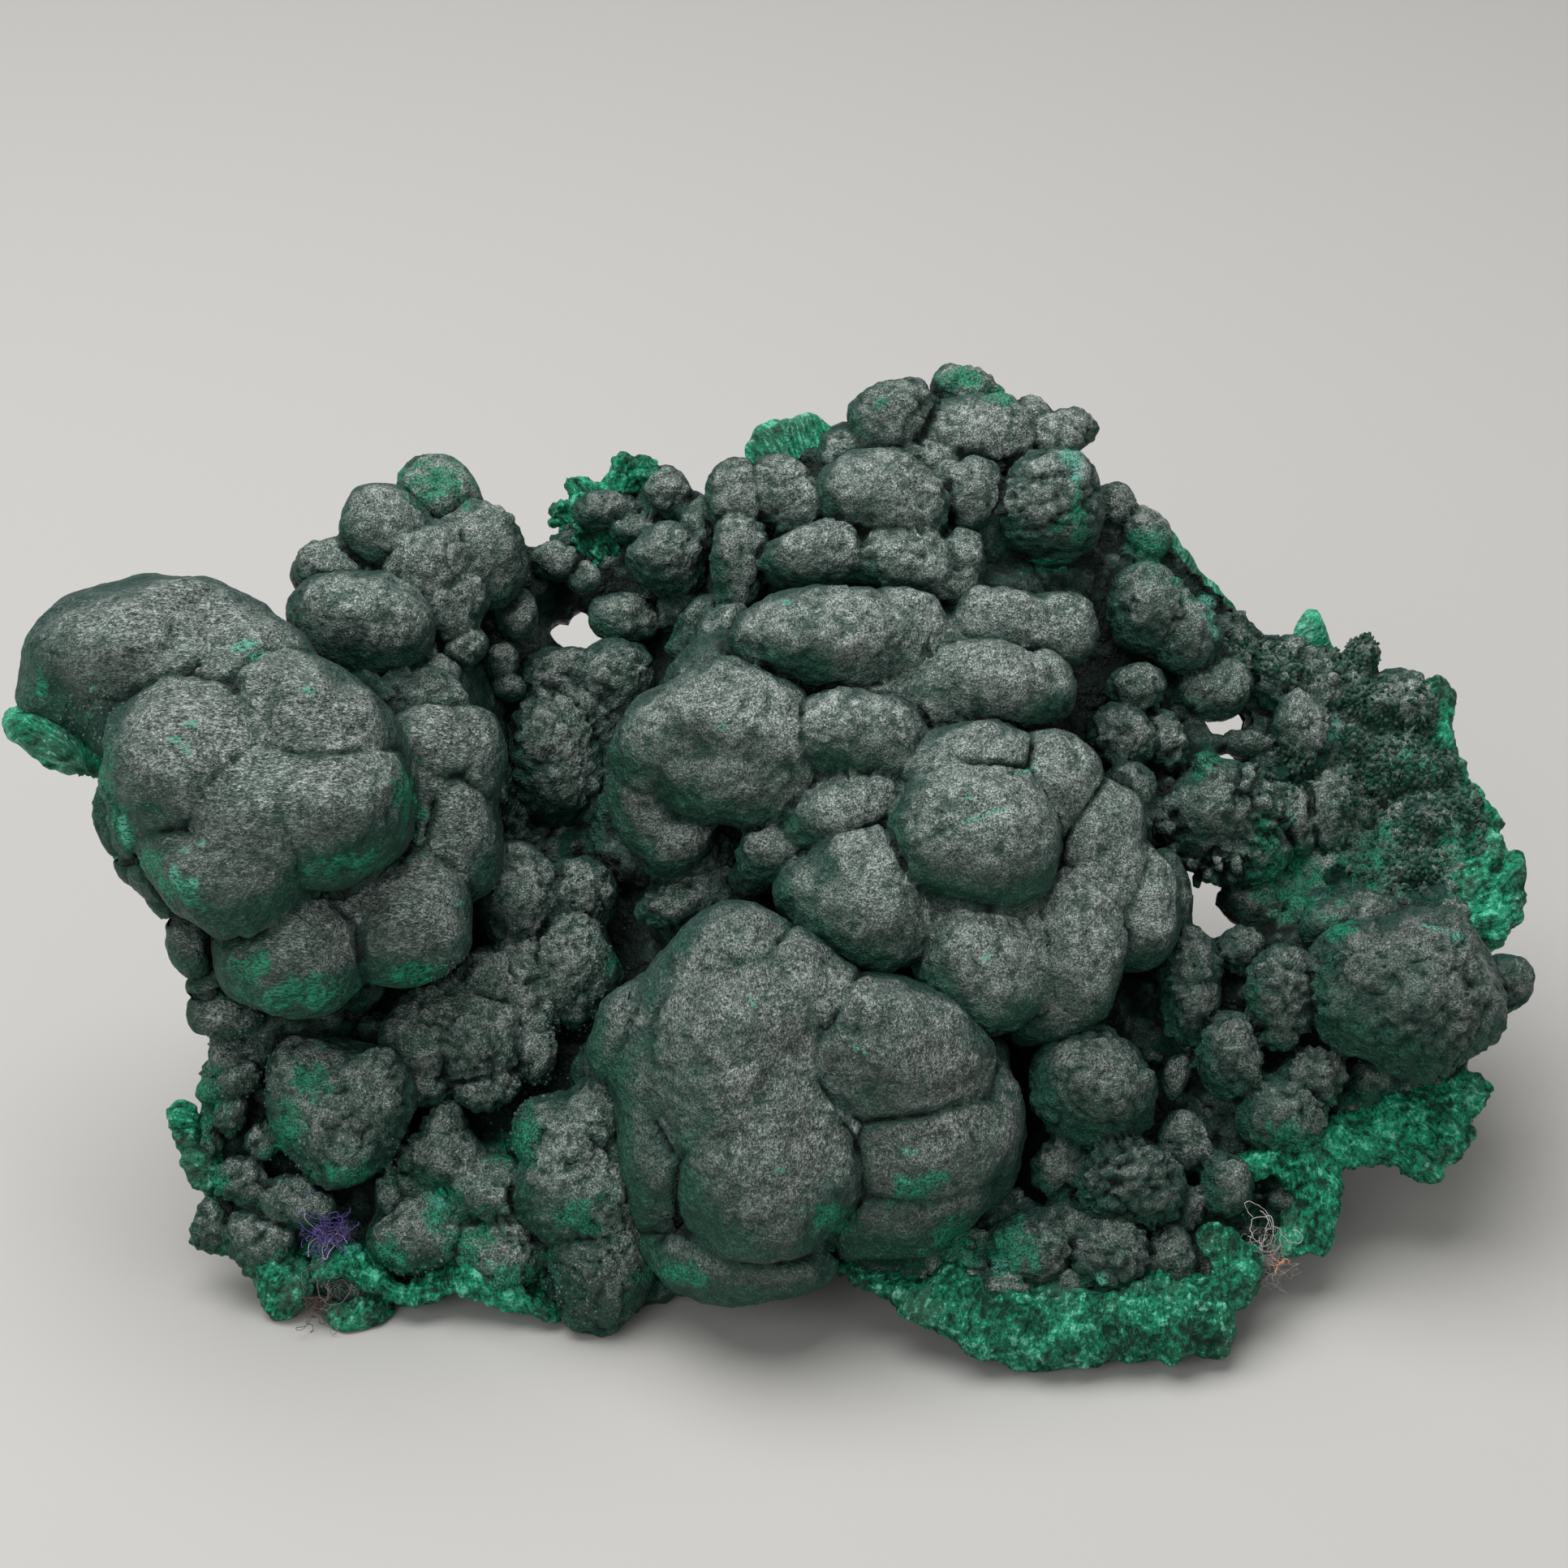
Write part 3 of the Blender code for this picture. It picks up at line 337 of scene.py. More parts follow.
def finish_lobes(
    piece, lobes, seed, melt=0.5, warp=1.0, warts=0.2, wart_size=2.5, rings=0.3, swells=0.5, rough=1.0,
    wrinkled=(),
):
    """Works the skin: lobes grown together and bent out of round, swells, warts, rings near the rims, open
    seams and, on the wrinkled ones of the lobes, cracks that run across them. Marks for the material the
    flanks, where a painted sheen rim goes, the undersides and hollows, where painted shade goes, and green
    patches and chips."""
    thin_back(piece)
    points, normals = skin_of(piece)
    waves = (warp, 9.0), (0.4 * warp, 3.6)
    if melt:
        move_skin(piece, grow_together(points, lobes, melt, *waves, seed, 3, 1.2))
        points, normals = skin_of(piece)
    bent = bend_twice(points, *waves, seed)
    own, seam, melted, facing, groove = lobe_fields(bent, lobes, max(melt, 0.7))
    facing = np.where((melted < 1.0)[:, None], facing, normals)
    turn = facing @ np.array(TOWARD)
    across, up, toward = face_of(points)
    size = np.array([halves.mean() for _, _, halves in lobes])[own]
    large = ramp(size, 4.0, 8.0)
    patchy = ramp(drift(points, 6.0, seed + 23), -0.5, 0.5)

    swell = 0.75 * drift(points, 6.5, seed + 14) + 0.65 * drift(points, 3.0, seed + 16)
    crease = np.exp(-np.abs(drift(bend(points, 0.8, 2.2, seed + 30), 4.2, seed + 27)) / 0.06)
    crooked = bend(points, 0.7, 2.5, seed + 15)
    near, after = cells(crooked, wart_size, seed + 19)
    wart = 0.6 - near - 0.35 * np.exp(-(after - near) / 0.12)
    near, _ = cells(crooked, 1.2, seed + 20)
    grit = 0.5 * (0.5 - near) + 0.32 * drift(points, 1.9, seed + 28) + 0.2 * drift(points, 1.0, seed + 29)
    grit *= rough
    along = np.arccos(np.clip(turn, -1.0, 1.0)) * size + 0.7 * drift(points, 3.0, seed + 21)
    ring = 0.5 * np.sin(along * 4.6) * ramp(turn, 0.97, 0.8) * ramp(turn, 0.0, 0.3)
    ring *= 0.2 + 0.8 * ramp(drift(points, 7.0, seed + 22), -0.2, 0.4)
    lying = np.stack([0.4 * across, 1.2 * up, 0.8 * toward], axis=1)
    crack = np.exp(-np.abs(drift(bend(lying, 0.6, 1.6, seed + 32), 2.0, seed + 33)) / 0.16)
    crack *= np.isin(own, wrinkled)
    open_seam = drift(points, 5.0, seed + 34) + 0.5 * drift(points, 2.0, seed + 35)
    groove *= 0.35 + 0.65 * ramp(open_seam, -0.3, 0.4)

    raised = swells * (0.35 + 0.75 * large) * swell + warts * (0.3 + 0.9 * patchy) * wart
    raised += grit * (0.6 + 0.5 * patchy) + 0.42 * rings * ring - 0.25 * crease * patchy
    raised -= (0.1 + 1.1 * groove) * np.exp(-seam / 0.55) + 0.8 * crack
    calm = 1.0 - 0.5 * ramp(turn, 0.4, 0.1)
    move_skin(piece, points + normals * (raised * calm - 0.12)[:, None])

    edge = 0.16 * drift(points, 4.2, seed + 24) + 0.1 * drift(points, 1.3, seed + 25)
    lower = facing @ np.array(UP) + 0.5 * facing[:, 0]
    ragged = 0.3 * drift(points, 1.4, seed + 26) + 0.25 * drift(points, 0.6, seed + 31)
    in_sight = turn > -0.1
    # The hollow mark is painted shade: it darkens seams, wart and grit pits, creases and cracks.
    hollow = groove * np.exp(-np.maximum(seam, 0.0) / 1.2) + ramp(-wart, 0.1, 0.6) * min(warts, 0.8)
    hollow += 0.5 * crease * patchy + 0.8 * crack + ramp(-grit, 0.08, 0.35) * 0.3
    # Marks for the material: a painted sheen rim where the skin turns away from the viewing direction, more
    # on the lower sides; painted shade on the sides that face down and in seams, pits, creases and cracks.
    mark(
        piece,
        flank=ramp(turn + edge + 0.3 * lower, 0.86, 0.46),
        under=ramp(lower + 2.0 * edge, 0.4, -0.5),
        deep=np.clip(hollow, 0.0, 1.0),
        leaf=cover(across, up, GREEN_PATCHES, ragged * 2.0) * in_sight,
        chip=cover(across, up, MINT_CHIPS, ragged) * in_sight,
    )


class Shade:
    """A socket of a material. Arithmetic on it adds Math nodes, and node() adds any other kind."""

    def __init__(self, tree, socket=None):
        self.tree = tree
        self.socket = socket

    def node(self, kind, settings=None, values=None, out=0):
        made = self.tree.nodes.new(kind)
        for name, value in (settings or {}).items():
            setattr(made, name, value)
        for name, value in (values or {}).items():
            if isinstance(value, Shade):
                self.tree.links.new(value.socket, made.inputs[name])
            else:
                made.inputs[name].default_value = value
        return Shade(self.tree, made.outputs[out])

    def math(self, operation, first, second=0.0):
        return self.node("ShaderNodeMath", {"operation": operation}, {0: first, 1: second})

    def __add__(self, other):
        return self.math("ADD", self, other)

    def __radd__(self, other):
        return self.math("ADD", other, self)

    def __sub__(self, other):
        return self.math("SUBTRACT", self, other)

    def __rsub__(self, other):
        return self.math("SUBTRACT", other, self)

    def __mul__(self, other):
        return self.math("MULTIPLY", self, other)

    def __rmul__(self, other):
        return self.math("MULTIPLY", other, self)

    def between(self, start, end):
        """0 at start, 1 at end, and held there beyond them."""
        settings = {"interpolation_type": "SMOOTHSTEP"}
        return self.node("ShaderNodeMapRange", settings, {"Value": self, "From Min": start, "From Max": end})

    def mask(self, name):
        return self.node("ShaderNodeAttribute", {"attribute_name": name}, out="Fac")

    def noise(self, at, size, detail=2.0, rough=0.55):
        """Noise from 0 to 1 whose lumps are about this many millimetres across."""
        values = {"Vector": at, "Scale": 1.0 / (size * MM), "Detail": detail, "Roughness": rough}
        return self.node("ShaderNodeTexNoise", None, values, out="Fac")

    def blend(self, share, first, second):
        """A colour between two."""
        first, second = (c if isinstance(c, Shade) else (*c, 1.0) for c in (first, second))
        return self.node("ShaderNodeMix", {"data_type": "RGBA"}, {0: share, 6: first, 7: second}, out=2)

    def bump(self, height, distance, strength=1.0):
        values = {"Strength": strength, "Distance": distance, "Height": height}
        return self.node("ShaderNodeBump", None, values)

    def stretched(self, at, factors):
        return self.node("ShaderNodeVectorMath", {"operation": "MULTIPLY"}, {0: at, 1: factors})


def new_material(name, specular):
    """A material, its Principled shader and a Shade to build on."""
    material = bpy.data.materials.new(name)
    material.use_nodes = True
    shader = material.node_tree.nodes["Principled BSDF"]
    shader.inputs["Specular IOR Level"].default_value = specular
    return material, shader, Shade(material.node_tree)


def lay(shade, shader, **values):
    """Links what changes over the surface to the shader's sockets."""
    for name, value in values.items():
        shade.tree.links.new(value.socket, shader.inputs[name.replace("_", " ")])


def lit(colour, light):
    return [c * light for c in colour]


def velvet(name, nap=(1.0, 1.0, 1.0), green=0.0, light=1.0, gloss=0.0):
    """Velvety malachite: grey-green nap, painted lighter on the bump's tops and darker in its pits, with
    painted silvery glints on the fibre tips, painted teal sheen rims, painted shade on its lower sides and
    black-green painted shade in the seams, and bright green patches and mint chips. A nap under 1.0 draws the
    fibres out along across, up or toward. Light scales the nap's colours per piece: partly its own tone,
    partly painted light."""
    material, shader, shade = new_material(name, 0.35)
    at = shade.node("ShaderNodeTexCoord", out="Object")
    values = {"Vector": at, "Rotation": (-VIEW_RISE, 0.0, 0.0)}
    brushed = shade.stretched(shade.node("ShaderNodeMapping", {"vector_type": "POINT"}, values), nap)
    flank, under, deep, leaf, chip = (shade.mask(mask) for mask in ("flank", "under", "deep", "leaf", "chip"))
    strand = shade.noise(brushed, 0.3, 3.0, 0.6)
    speck = shade.noise(brushed, 0.13, 1.0, 0.5)
    relief = shade.noise(at, 1.2, 4.0, 0.62)
    mottle = shade.noise(at, 2.6, 3.0, 0.6)
    patch = shade.noise(at, 8.0, 2.0)
    # The tone mixes fleck noise with the bump's relief, so the nap is painted lighter on the bump's tops and
    # darker in its pits: partly random tone, partly painted light and shade.
    tone = strand * 0.54 + speck * 0.5 + relief * 0.26 + mottle * 0.22
    # Painted glints: silvery flecks where the tone is highest. Dark flecks where it is lowest, partly painted
    # shade in the bump's pits.
    painted_glint = tone.between(0.79, 0.93)
    dark = tone.between(0.71, 0.60)

    # Light scales the nap's colours per piece: partly the piece's own tone, partly painted light that lifts
    # pieces lying in shade and dims others.
    low, high = lit((0.044, 0.064, 0.055), light), lit((0.220, 0.256, 0.234), light)
    grey = shade.blend(tone.between(0.66, 0.86), low, high)
    grey = shade.blend(patch.between(0.45, 0.66) * 0.3, grey, (0.036, 0.095, 0.070))
    if green:
        grown_over = shade.noise(at, 4.0, 2.0).between(0.40, 0.62) * green
        grey = shade.blend(grown_over, grey, (0.005, 0.075, 0.042))
    napped = shade.blend(painted_glint * 0.7, grey, lit((0.55, 0.60, 0.57), light))
    napped = shade.blend(dark * 0.85, napped, (0.008, 0.018, 0.013))
    # Painted shade on the sides that face down.
    napped = shade.blend(under * 0.6, napped, (0.012, 0.034, 0.025))

    # The rim colour is a painted sheen: dark teal, deeper green with brighter green streaks on the lower
    # sides, with painted glints and dark flecks.
    rim = shade.blend(under, (0.005, 0.040, 0.031), (0.0015, 0.052, 0.029))
    rim = shade.blend(tone.between(0.72, 0.92) * under * 0.7, rim, (0.006, 0.14, 0.080))
    rim = shade.blend(painted_glint * 0.35, rim, (0.14, 0.22, 0.19))
    rim = shade.blend(dark * 0.7, rim, (0.001, 0.014, 0.009))

    colour = shade.blend(flank * 0.92, napped, rim)
    green_leaf = shade.blend(strand.between(0.36, 0.62), (0.002, 0.090, 0.045), (0.008, 0.32, 0.17))
    # Painted shade in seams and hollows: dark green, and near black in the deepest.
    colour = shade.blend(deep.between(0.10, 0.45) * 0.65, colour, (0.001, 0.040, 0.025))
    colour = shade.blend(leaf * tone.between(0.60, 0.82) * 0.9, colour, green_leaf)
    colour = shade.blend(deep.between(0.50, 0.95) * 0.95, colour, (0.0006, 0.007, 0.005))
    colour = shade.blend(chip * strand.between(0.4, 0.52) * 0.9, colour, (0.10, 0.42, 0.31))
    bump = shade.bump(relief + strand * 0.25 + mottle * 0.5 + speck * 0.05, 0.0016)
    lay(shade, shader, Base_Color=colour, Normal=bump, Roughness=0.50 - gloss - painted_glint * 0.16)
    return material


def paint_hollow_shade(piece, amount):
    """Adds painted shade to the hollows of a piece, by an amount from 0 to 1 at each vertex."""
    deep = piece.data.attributes["deep"]
    hollow = np.empty(len(piece.data.vertices), np.float32)
    deep.data.foreach_get("value", hollow)
    deep.data.foreach_set("value", np.maximum(hollow, np.clip(amount, 0.0, 1.0)).astype(np.float32))


def ready(piece, material):
    """Gives a finished piece its material and ties it to the specimen."""
    piece.data.materials.clear()
    piece.data.materials.append(material)
    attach(piece, "root")
    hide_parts("malachite")


def velvety_piece(name, rows, seed, material, voxel=0.48, **finish):
    """The lobes in a table's rows, under one worked skin."""
    lobes = [lobe(*row) for row in rows]
    piece = weld(name, add_balls(lobes), voxel)
    finish_lobes(piece, lobes, seed, **finish)
    ready(piece, material)
    return piece


# Each row is a lobe: across, up, toward, half width, half height and, where it is tilted, roll in degrees.
LEFT_ARM = [
    (-77.6, 88.6, -6.5, 15.8, 9.6), (-87.4, 84.8, -8, 7.4, 5.8, 35), (-80, 83.4, -5, 8, 7.6),
    (-67.5, 85, -5, 10.5, 9.4), (-73, 75, 3.8, 10.4, 10.2), (-58.4, 79.8, 2.4, 10.4, 8.2, -24),
    (-56.6, 69.8, 4.4, 11.4, 8.9, -8), (-69, 62, 4.6, 9.6, 8.2, -8), (-65.4, 68.6, 5.4, 9.6, 9),
    (-79, 71, 0.6, 4.8, 6), (-62, 72, -6.5, 16, 13), (-60.8, 51.9, -2, 9.1, 8.2, 10),
    (-45.4, 54.9, -5.4, 7.1, 8), (-53, 57, -9, 10, 8), (-43.2, 77.2, -9.6, 5.6, 4.5, -5),
    (-38.6, 76.2, -13, 4.4, 6.6), (-41.2, 67, -10.4, 4.8, 6.3), (-38.8, 65.6, -13.4, 4.4, 7.4),
    (-46, 70, -14, 8, 10), (-83.3, 68.2, 0, 2.2, 3.1), (-80.2, 67, 3, 2.5, 2.7), (-80, 62.6, -1, 1.8, 1.5),
    (-77, 62.6, 0, 3.2, 3.6), (-76.2, 59.2, -3, 2.2, 2.4), (-73.4, 53, -5, 2.9, 3.8),
    (-71, 48.3, -8, 2.4, 1.4, 20), (-69, 44, -9, 4.7, 3.1),
]
velvet_left = velvet("velvet brushed sideways", nap=(0.4, 1.0, 1.0), light=1.04)
left_arm = velvety_piece(
    "left_arm", LEFT_ARM, 100, velvet_left, voxel=0.47, melt=1.5, warts=0.2, rings=0.3, swells=0.65,
    rough=0.65,
)


# Upper left lobes
# A knot of round lobes behind the arm, of the same malachite, with a coarser, granular nap. It is made as
# the arm is, from a table of lobes, and so are the next pieces.

UPPER_LEFT = [
    (-52.1, 92.1, -22, 9.1, 7.1, -5), (-55.8, 98.6, -28, 4.4, 4.1), (-49, 103.8, -28, 6.1, 5.1, -18),
    (-44.4, 99.2, -27.6, 5.8, 6.2, -38), (-41.5, 94.4, -28, 4.5, 5.5, -30),
    (-42.2, 107.4, -36, 5.9, 4.7, -24), (-43.2, 109.6, -37, 3.7, 3, -8), (-37.7, 100.6, -32.6, 6, 7.2, 12),
    (-48, 97, -34, 9, 8), (-40.4, 94.5, -34, 2, 2.4), (-33.2, 93.2, -36, 3.2, 3.2),
    (-35.2, 87.8, -34, 2.4, 2.2), (-34.2, 84.3, -34, 2.2, 1.8), (-40.2, 89.3, -28, 3.2, 3.4),
    (-43.4, 85.3, -25, 4, 3.3), (-50.1, 83.4, -18, 2.2, 1.5), (-28.5, 99.5, -44, 3, 2.8),
    (-25.1, 97.6, -44, 2.2, 2.2),
]
velvet_plain = velvet("velvet", light=1.32)
upper_left = velvety_piece(
    "upper_left_lobes", UPPER_LEFT, 200, velvet_plain, melt=0.6, warts=0.5, wart_size=2.0, rings=0.3
)


# Left valley
# Small warty lobes deep between the arm and the ridge, darker than the arm, with green malachite showing
# through their nap.

LEFT_VALLEY = [
    (-28.1, 75.5, -37, 6.4, 8.8), (-20.8, 85, -39, 5.8, 4.8, 20), (-27.6, 85.2, -40, 5.4, 3.6),
    (-24.5, 80.5, -42, 8, 7.5), (-45.2, 40.4, -13.2, 5.8, 5.6), (-38.2, 41.4, -13.4, 6.6, 5.8),
    (-36.6, 47.4, -17, 5.7, 5.7), (-41, 43, -18, 9, 7.6, 15), (-51, 42.6, -14, 2.4, 2),
    (-44.2, 35.4, -12.4, 3.9, 3.2), (-36.4, 35.2, -12.4, 4.4, 3.3), (-30.6, 39, -15, 2.9, 3.6),
    (-32.4, 45, -18, 5, 6.6), (-33, 58.6, -22, 5.6, 7.4), (-25.4, 58, -24, 5, 5.6),
    (-26.2, 49.2, -21, 6, 7.4), (-32, 50, -21, 4.6, 5.4), (-14.1, 57.5, -18, 4.6, 3, 8),
    (-18, 64, -34, 7, 6), (-8.5, 57.5, -24, 9, 8), (-11, 66, -23, 8, 7.5), (-20.5, 35.5, -16, 6, 7),
]
velvet_green = velvet("velvet over green", green=0.4, light=1.15, gloss=0.1)
left_valley = velvety_piece(
    "left_valley", LEFT_VALLEY, 300, velvet_green, melt=0.5, warts=1.2, wart_size=1.8, rings=0.5
)


# Lower left lobes
# Lobes along the lower left, above the broken teeth that touch the table. They're more bent out of round
# than the others.

LOWER_LEFT = [
    (-55, 32.4, -10, 8.7, 8.8), (-54.8, 28.4, -5.8, 5.3, 4.6), (-51.9, 34.4, -6.2, 5, 6.2, -10),
    (-59.2, 34.6, -8, 4.3, 6, 10), (-41.8, 30.2, -11.2, 2.9, 3.7), (-42, 26.4, -10.4, 5.2, 4.1),
    (-45.8, 23.8, -11, 2.8, 2.3), (-48.6, 21.8, -9.6, 1.9, 3.1), (-35.7, 22.3, -9.8, 5, 4.5),
    (-60.2, 21, -9.4, 5.2, 3), (-64.4, 16.5, -9.8, 4.4, 3.9), (-67, 23.2, -10, 3.4, 3.1),
    (-70.3, 17.6, -10, 2.5, 3.3), (-67.5, 35.8, -11, 3.2, 3), (-68.5, 31.5, -11, 2.8, 2.6),
    (-71, 35, -12, 2, 2.2), (-71.5, 28.5, -12, 2.2, 2.8), (-64.2, 27.5, -10, 2.2, 2.2),
    (-44, 17, -11, 8, 5), (-35, 15, -9, 6, 5), (-27.8, 29.8, -9.8, 5.6, 5.2), (-22.4, 31.2, -10, 6.2, 6.4),
    (-24.6, 22.6, -7.6, 7.8, 8.6), (-22.6, 14, -7, 6.6, 7.2), (-23, 9.2, -7.4, 5, 4.4),
    (-12.5, 21, -7, 6.5, 7),
]
lower_left = velvety_piece(
    "lower_left_lobes", LOWER_LEFT, 400, velvet_green, melt=0.7, warp=1.3, warts=1.0, wart_size=1.8, rings=0.2
)


# Front dome
# The biggest growth, low in the middle: smooth domes folded against one another. They melt together
# furthest, and their nap is brushed downward.

FRONT_DOME = [
    (1, 33, -13.5, 20, 18), (14, 33, -10, 14, 14), (-6.1, 50.7, -3, 7.4, 7.2, 10),
    (-4.6, 40.6, 0.4, 10.2, 10), (-4.8, 33, 2, 10.2, 9), (2.8, 45.6, -0.8, 7, 7.8),
    (13.8, 40, 0.8, 10.4, 8.8, -12), (16.4, 27.4, 0.2, 9.2, 6.8, 15), (14.6, 20.6, -2.4, 9.6, 5.8, 14),
    (20.4, 28.6, -2, 5.6, 4.6, 25), (24.8, 31.5, -6, 4.4, 8.6, -5), (-2.4, 24.4, 3.8, 9.9, 10.2),
    (-15, 26.8, -2, 5.8, 8.8), (-13.8, 36, -3, 5.6, 8), (-20.6, 42, -5, 3.2, 5.6, -20),
    (-15.8, 41, -3, 3.2, 6.8, -20), (-11.8, 46, -5, 5, 7, -25), (-4.2, 13.6, 0, 9.8, 5.4, -4),
    (-11, 15.6, -3.6, 5.4, 5.4),
]
velvet_down = velvet("velvet brushed down", nap=(1.0, 0.5, 1.0), light=0.82)
front_dome = velvety_piece(
    "front_dome", FRONT_DOME, 500, velvet_down, melt=2.0, warts=0.25, rings=0.3, swells=0.75, rough=0.7
)


# Ridge
# The chain of lobes that climbs from the dome to the crest, ringed and warty, with three large masses
# behind them.

RIDGE = [
    (9.8, 58.5, -5, 7.7, 8.5, -15), (4.4, 57.6, -6.6, 6.2, 5.2, -12), (12.4, 54.6, -5, 5.6, 5.4),
    (23.8, 49.8, -4.8, 8.2, 8.8, 8), (29.6, 50.6, -6, 4.6, 7.6, -5), (35.4, 52.6, -7.8, 6.8, 9.8, 8),
    (32.4, 45.4, -9, 6.8, 5.8, 10), (20.8, 66.4, -3.4, 7.8, 8.8), (26, 65.4, -3.2, 7.8, 8.8),
    (22.4, 75, -7.4, 8.4, 5, 4), (18.4, 57.6, -7.6, 4.8, 4.8), (32.4, 72, -9, 6.4, 6.8, -25),
    (37.8, 66.4, -10.6, 5.8, 6.8, -30), (38.6, 61.4, -10.4, 5.6, 6.8, -10), (43.2, 57, -12.6, 6, 8.2),
    (47, 57.8, -19, 3.4, 6.4), (-7.2, 79.4, -10.4, 8.9, 7.6, -10), (-14.2, 77.6, -13.4, 7.4, 7.4),
    (-7.6, 72.4, -10.4, 7.8, 6.2), (-1.2, 76.4, -10.4, 6.2, 8.2), (-16.4, 70.6, -16, 5.4, 7.4),
    (-13.2, 65.6, -15, 4.6, 4.4), (9.1, 78.1, -9, 8.3, 6, -8), (7.4, 69, -7.6, 7.6, 4.4, 22),
    (-1.6, 64, -9.6, 5.2, 3.6, 25), (-4.4, 60.8, -13, 3, 2.5, 20), (25, 84.2, -15, 8.6, 6.4, -10),
    (18.9, 82.8, -14.6, 4.6, 5.2), (32.2, 84.4, -17, 3.6, 5.4, -10), (5.6, 90, -17, 11.8, 7, -6),
    (-1.4, 89.6, -17.6, 6.2, 5.4), (14.5, 92.2, -21, 5.3, 5.2), (24.4, 92.6, -23.6, 3.8, 4.2),
    (28.6, 91.8, -23, 5.3, 4.9), (34.4, 91.6, -25, 4.8, 5.6), (14, 66, -26, 18, 16), (10, 84, -28, 18, 12),
    (-6, 82, -26, 10, 9),
]
ridge = velvety_piece(
    "ridge", RIDGE, 600, velvet_plain, voxel=0.52, melt=0.8, warts=0.4, wart_size=2.0, rings=0.6, swells=0.6,
    rough=0.9,
)


# Crest
# The top of the specimen, with one cracked, wrinkled lobe on its right, and the small lobes that lead to it
# from the left, which are a piece of their own.

CREST = [
    (-5.9, 107.6, -35, 3.9, 5), (-0.8, 108.4, -35, 4.3, 4.7), (1.6, 106.4, -34, 3.6, 4.2),
    (-5.6, 99.6, -32, 4.4, 6.6), (-8, 90.5, -30, 3.2, 5.4, -30), (13.4, 117, -38, 5.3, 4.9),
    (8, 112.8, -40, 4.6, 4, 35), (22.4, 120.6, -44, 5, 3.6, -10), (20.4, 115, -38.6, 4, 4.1),
    (26.3, 115.4, -40, 4.7, 4.7), (23.2, 115, -38.8, 4.6, 4.8), (18.9, 112, -37, 2.8, 2.8),
    (30.4, 117.6, -43.4, 2.7, 2.6), (35.5, 116, -44, 3.3, 2.8, -15), (32, 114, -43, 4.6, 3.6),
    (32.6, 106.6, -36, 7, 7.6), (22.8, 108, -34.4, 4, 4.8), (12, 107.5, -31, 8.5, 6.3, -14),
    (3.9, 100, -27, 6.8, 5.4, 5), (15.2, 99.2, -27, 6.6, 5.6, -20), (19, 96, -27, 4.6, 3.4, -20),
    (21.8, 99.8, -28.4, 3.3, 4.7), (14, 106, -44, 14, 10), (26, 104, -44, 10, 9), (8, 96, -38, 12, 9),
]
UPPER_MIDDLE = [
    (-15.1, 108.6, -46, 3.2, 3.6), (-22, 106.6, -48, 3.6, 3.2), (-18.2, 103.8, -46, 3, 2.6),
    (-14.4, 99.8, -41, 5.4, 5), (-19.8, 92.4, -43, 4.2, 2.9, -15), (-15, 93, -45, 3, 3.4),
    (-10.5, 103, -44, 3.4, 5), (-12, 94.5, -44, 4, 4.5), (-11.4, 106.2, -48, 2, 2.8),
]
crest = velvety_piece(
    "crest", CREST, 700, velvet_plain, melt=0.6, warts=0.6, wart_size=2.0, rings=0.3, wrinkled=(15,)
)
upper_middle = velvety_piece(
    "upper_middle_lobes", UPPER_MIDDLE, 800, velvet_green, melt=0.5, warts=0.6, rings=0.3
)


# Right wing
# The thin upper right part of the crust: scattered warty lobes round the gaps that go right through. The
# biggest one bristles with small knobs.

RIGHT_WING = [
    (44.6, 94.2, -37, 5.4, 5.6), (49.6, 90.6, -38, 5, 5.2), (47.2, 92.6, -38, 4.8, 5),
    (41, 105.8, -46, 3.3, 3.5), (45, 103, -46, 3.5, 3.3), (43.4, 84, -34, 4, 3.4),
    (52.7, 83.8, -40, 5.3, 4.1, 12), (41.2, 78, -30, 4.5, 4.3), (47, 77.4, -33, 3.2, 3.8),
    (50.5, 73.8, -35, 3, 2.2), (56.8, 77.3, -40, 3.2, 2), (63.9, 79, -41, 3.9, 5.2),
    (66.4, 84.5, -44, 3.8, 3.6), (60.6, 84.6, -44, 3.9, 3.7), (71.2, 83, -43, 2.4, 3.2),
    (71.4, 87.8, -46, 2.3, 2.7), (70.2, 85.2, -45, 3, 3), (61.2, 88.6, -46, 3.2, 2.6),
    (76, 84, -44, 3.4, 2.6), (77.2, 81.4, -43.6, 4.2, 3.8), (69.8, 77.4, -42, 1.6, 2.8),
    (53.8, 68.8, -29.4, 7.2, 6.6), (52.8, 69.8, -26.4, 5, 4.8), (56.2, 64.2, -30, 6.6, 4.8, -10),
    (62, 67, -34, 4.2, 5), (67, 68.6, -34, 3.6, 5.4), (42.2, 71.4, -24, 3.8, 4.4),
    (43.4, 67.4, -24, 3.2, 3.3), (58, 57.6, -31, 5, 3, -15), (76, 74, -42, 6, 5), (80, 68, -40, 6, 5),
    (78, 61.5, -36, 7, 3.2),
]
KNOBS = 34
KNOB_TURN = 2.4
KNOBBED_CENTRE = (53.6, 67.8, -28.6)


def knob(k):
    """A small knob on the big wing lobe, which bristles with them in a spiral round its middle."""
    around = KNOB_TURN * k
    out = 4.9 + 2.9 * (k / KNOBS) ** 0.7
    behind = math.sqrt(max(1.0 - (out / 8.4) ** 2, 0.0)) * 6.4
    half = 0.9 + 0.6 * (k * 0.618 % 1.0)
    across, up, toward = KNOBBED_CENTRE
    return across + out * math.cos(around), up + out * math.sin(around), behind + toward, half, half


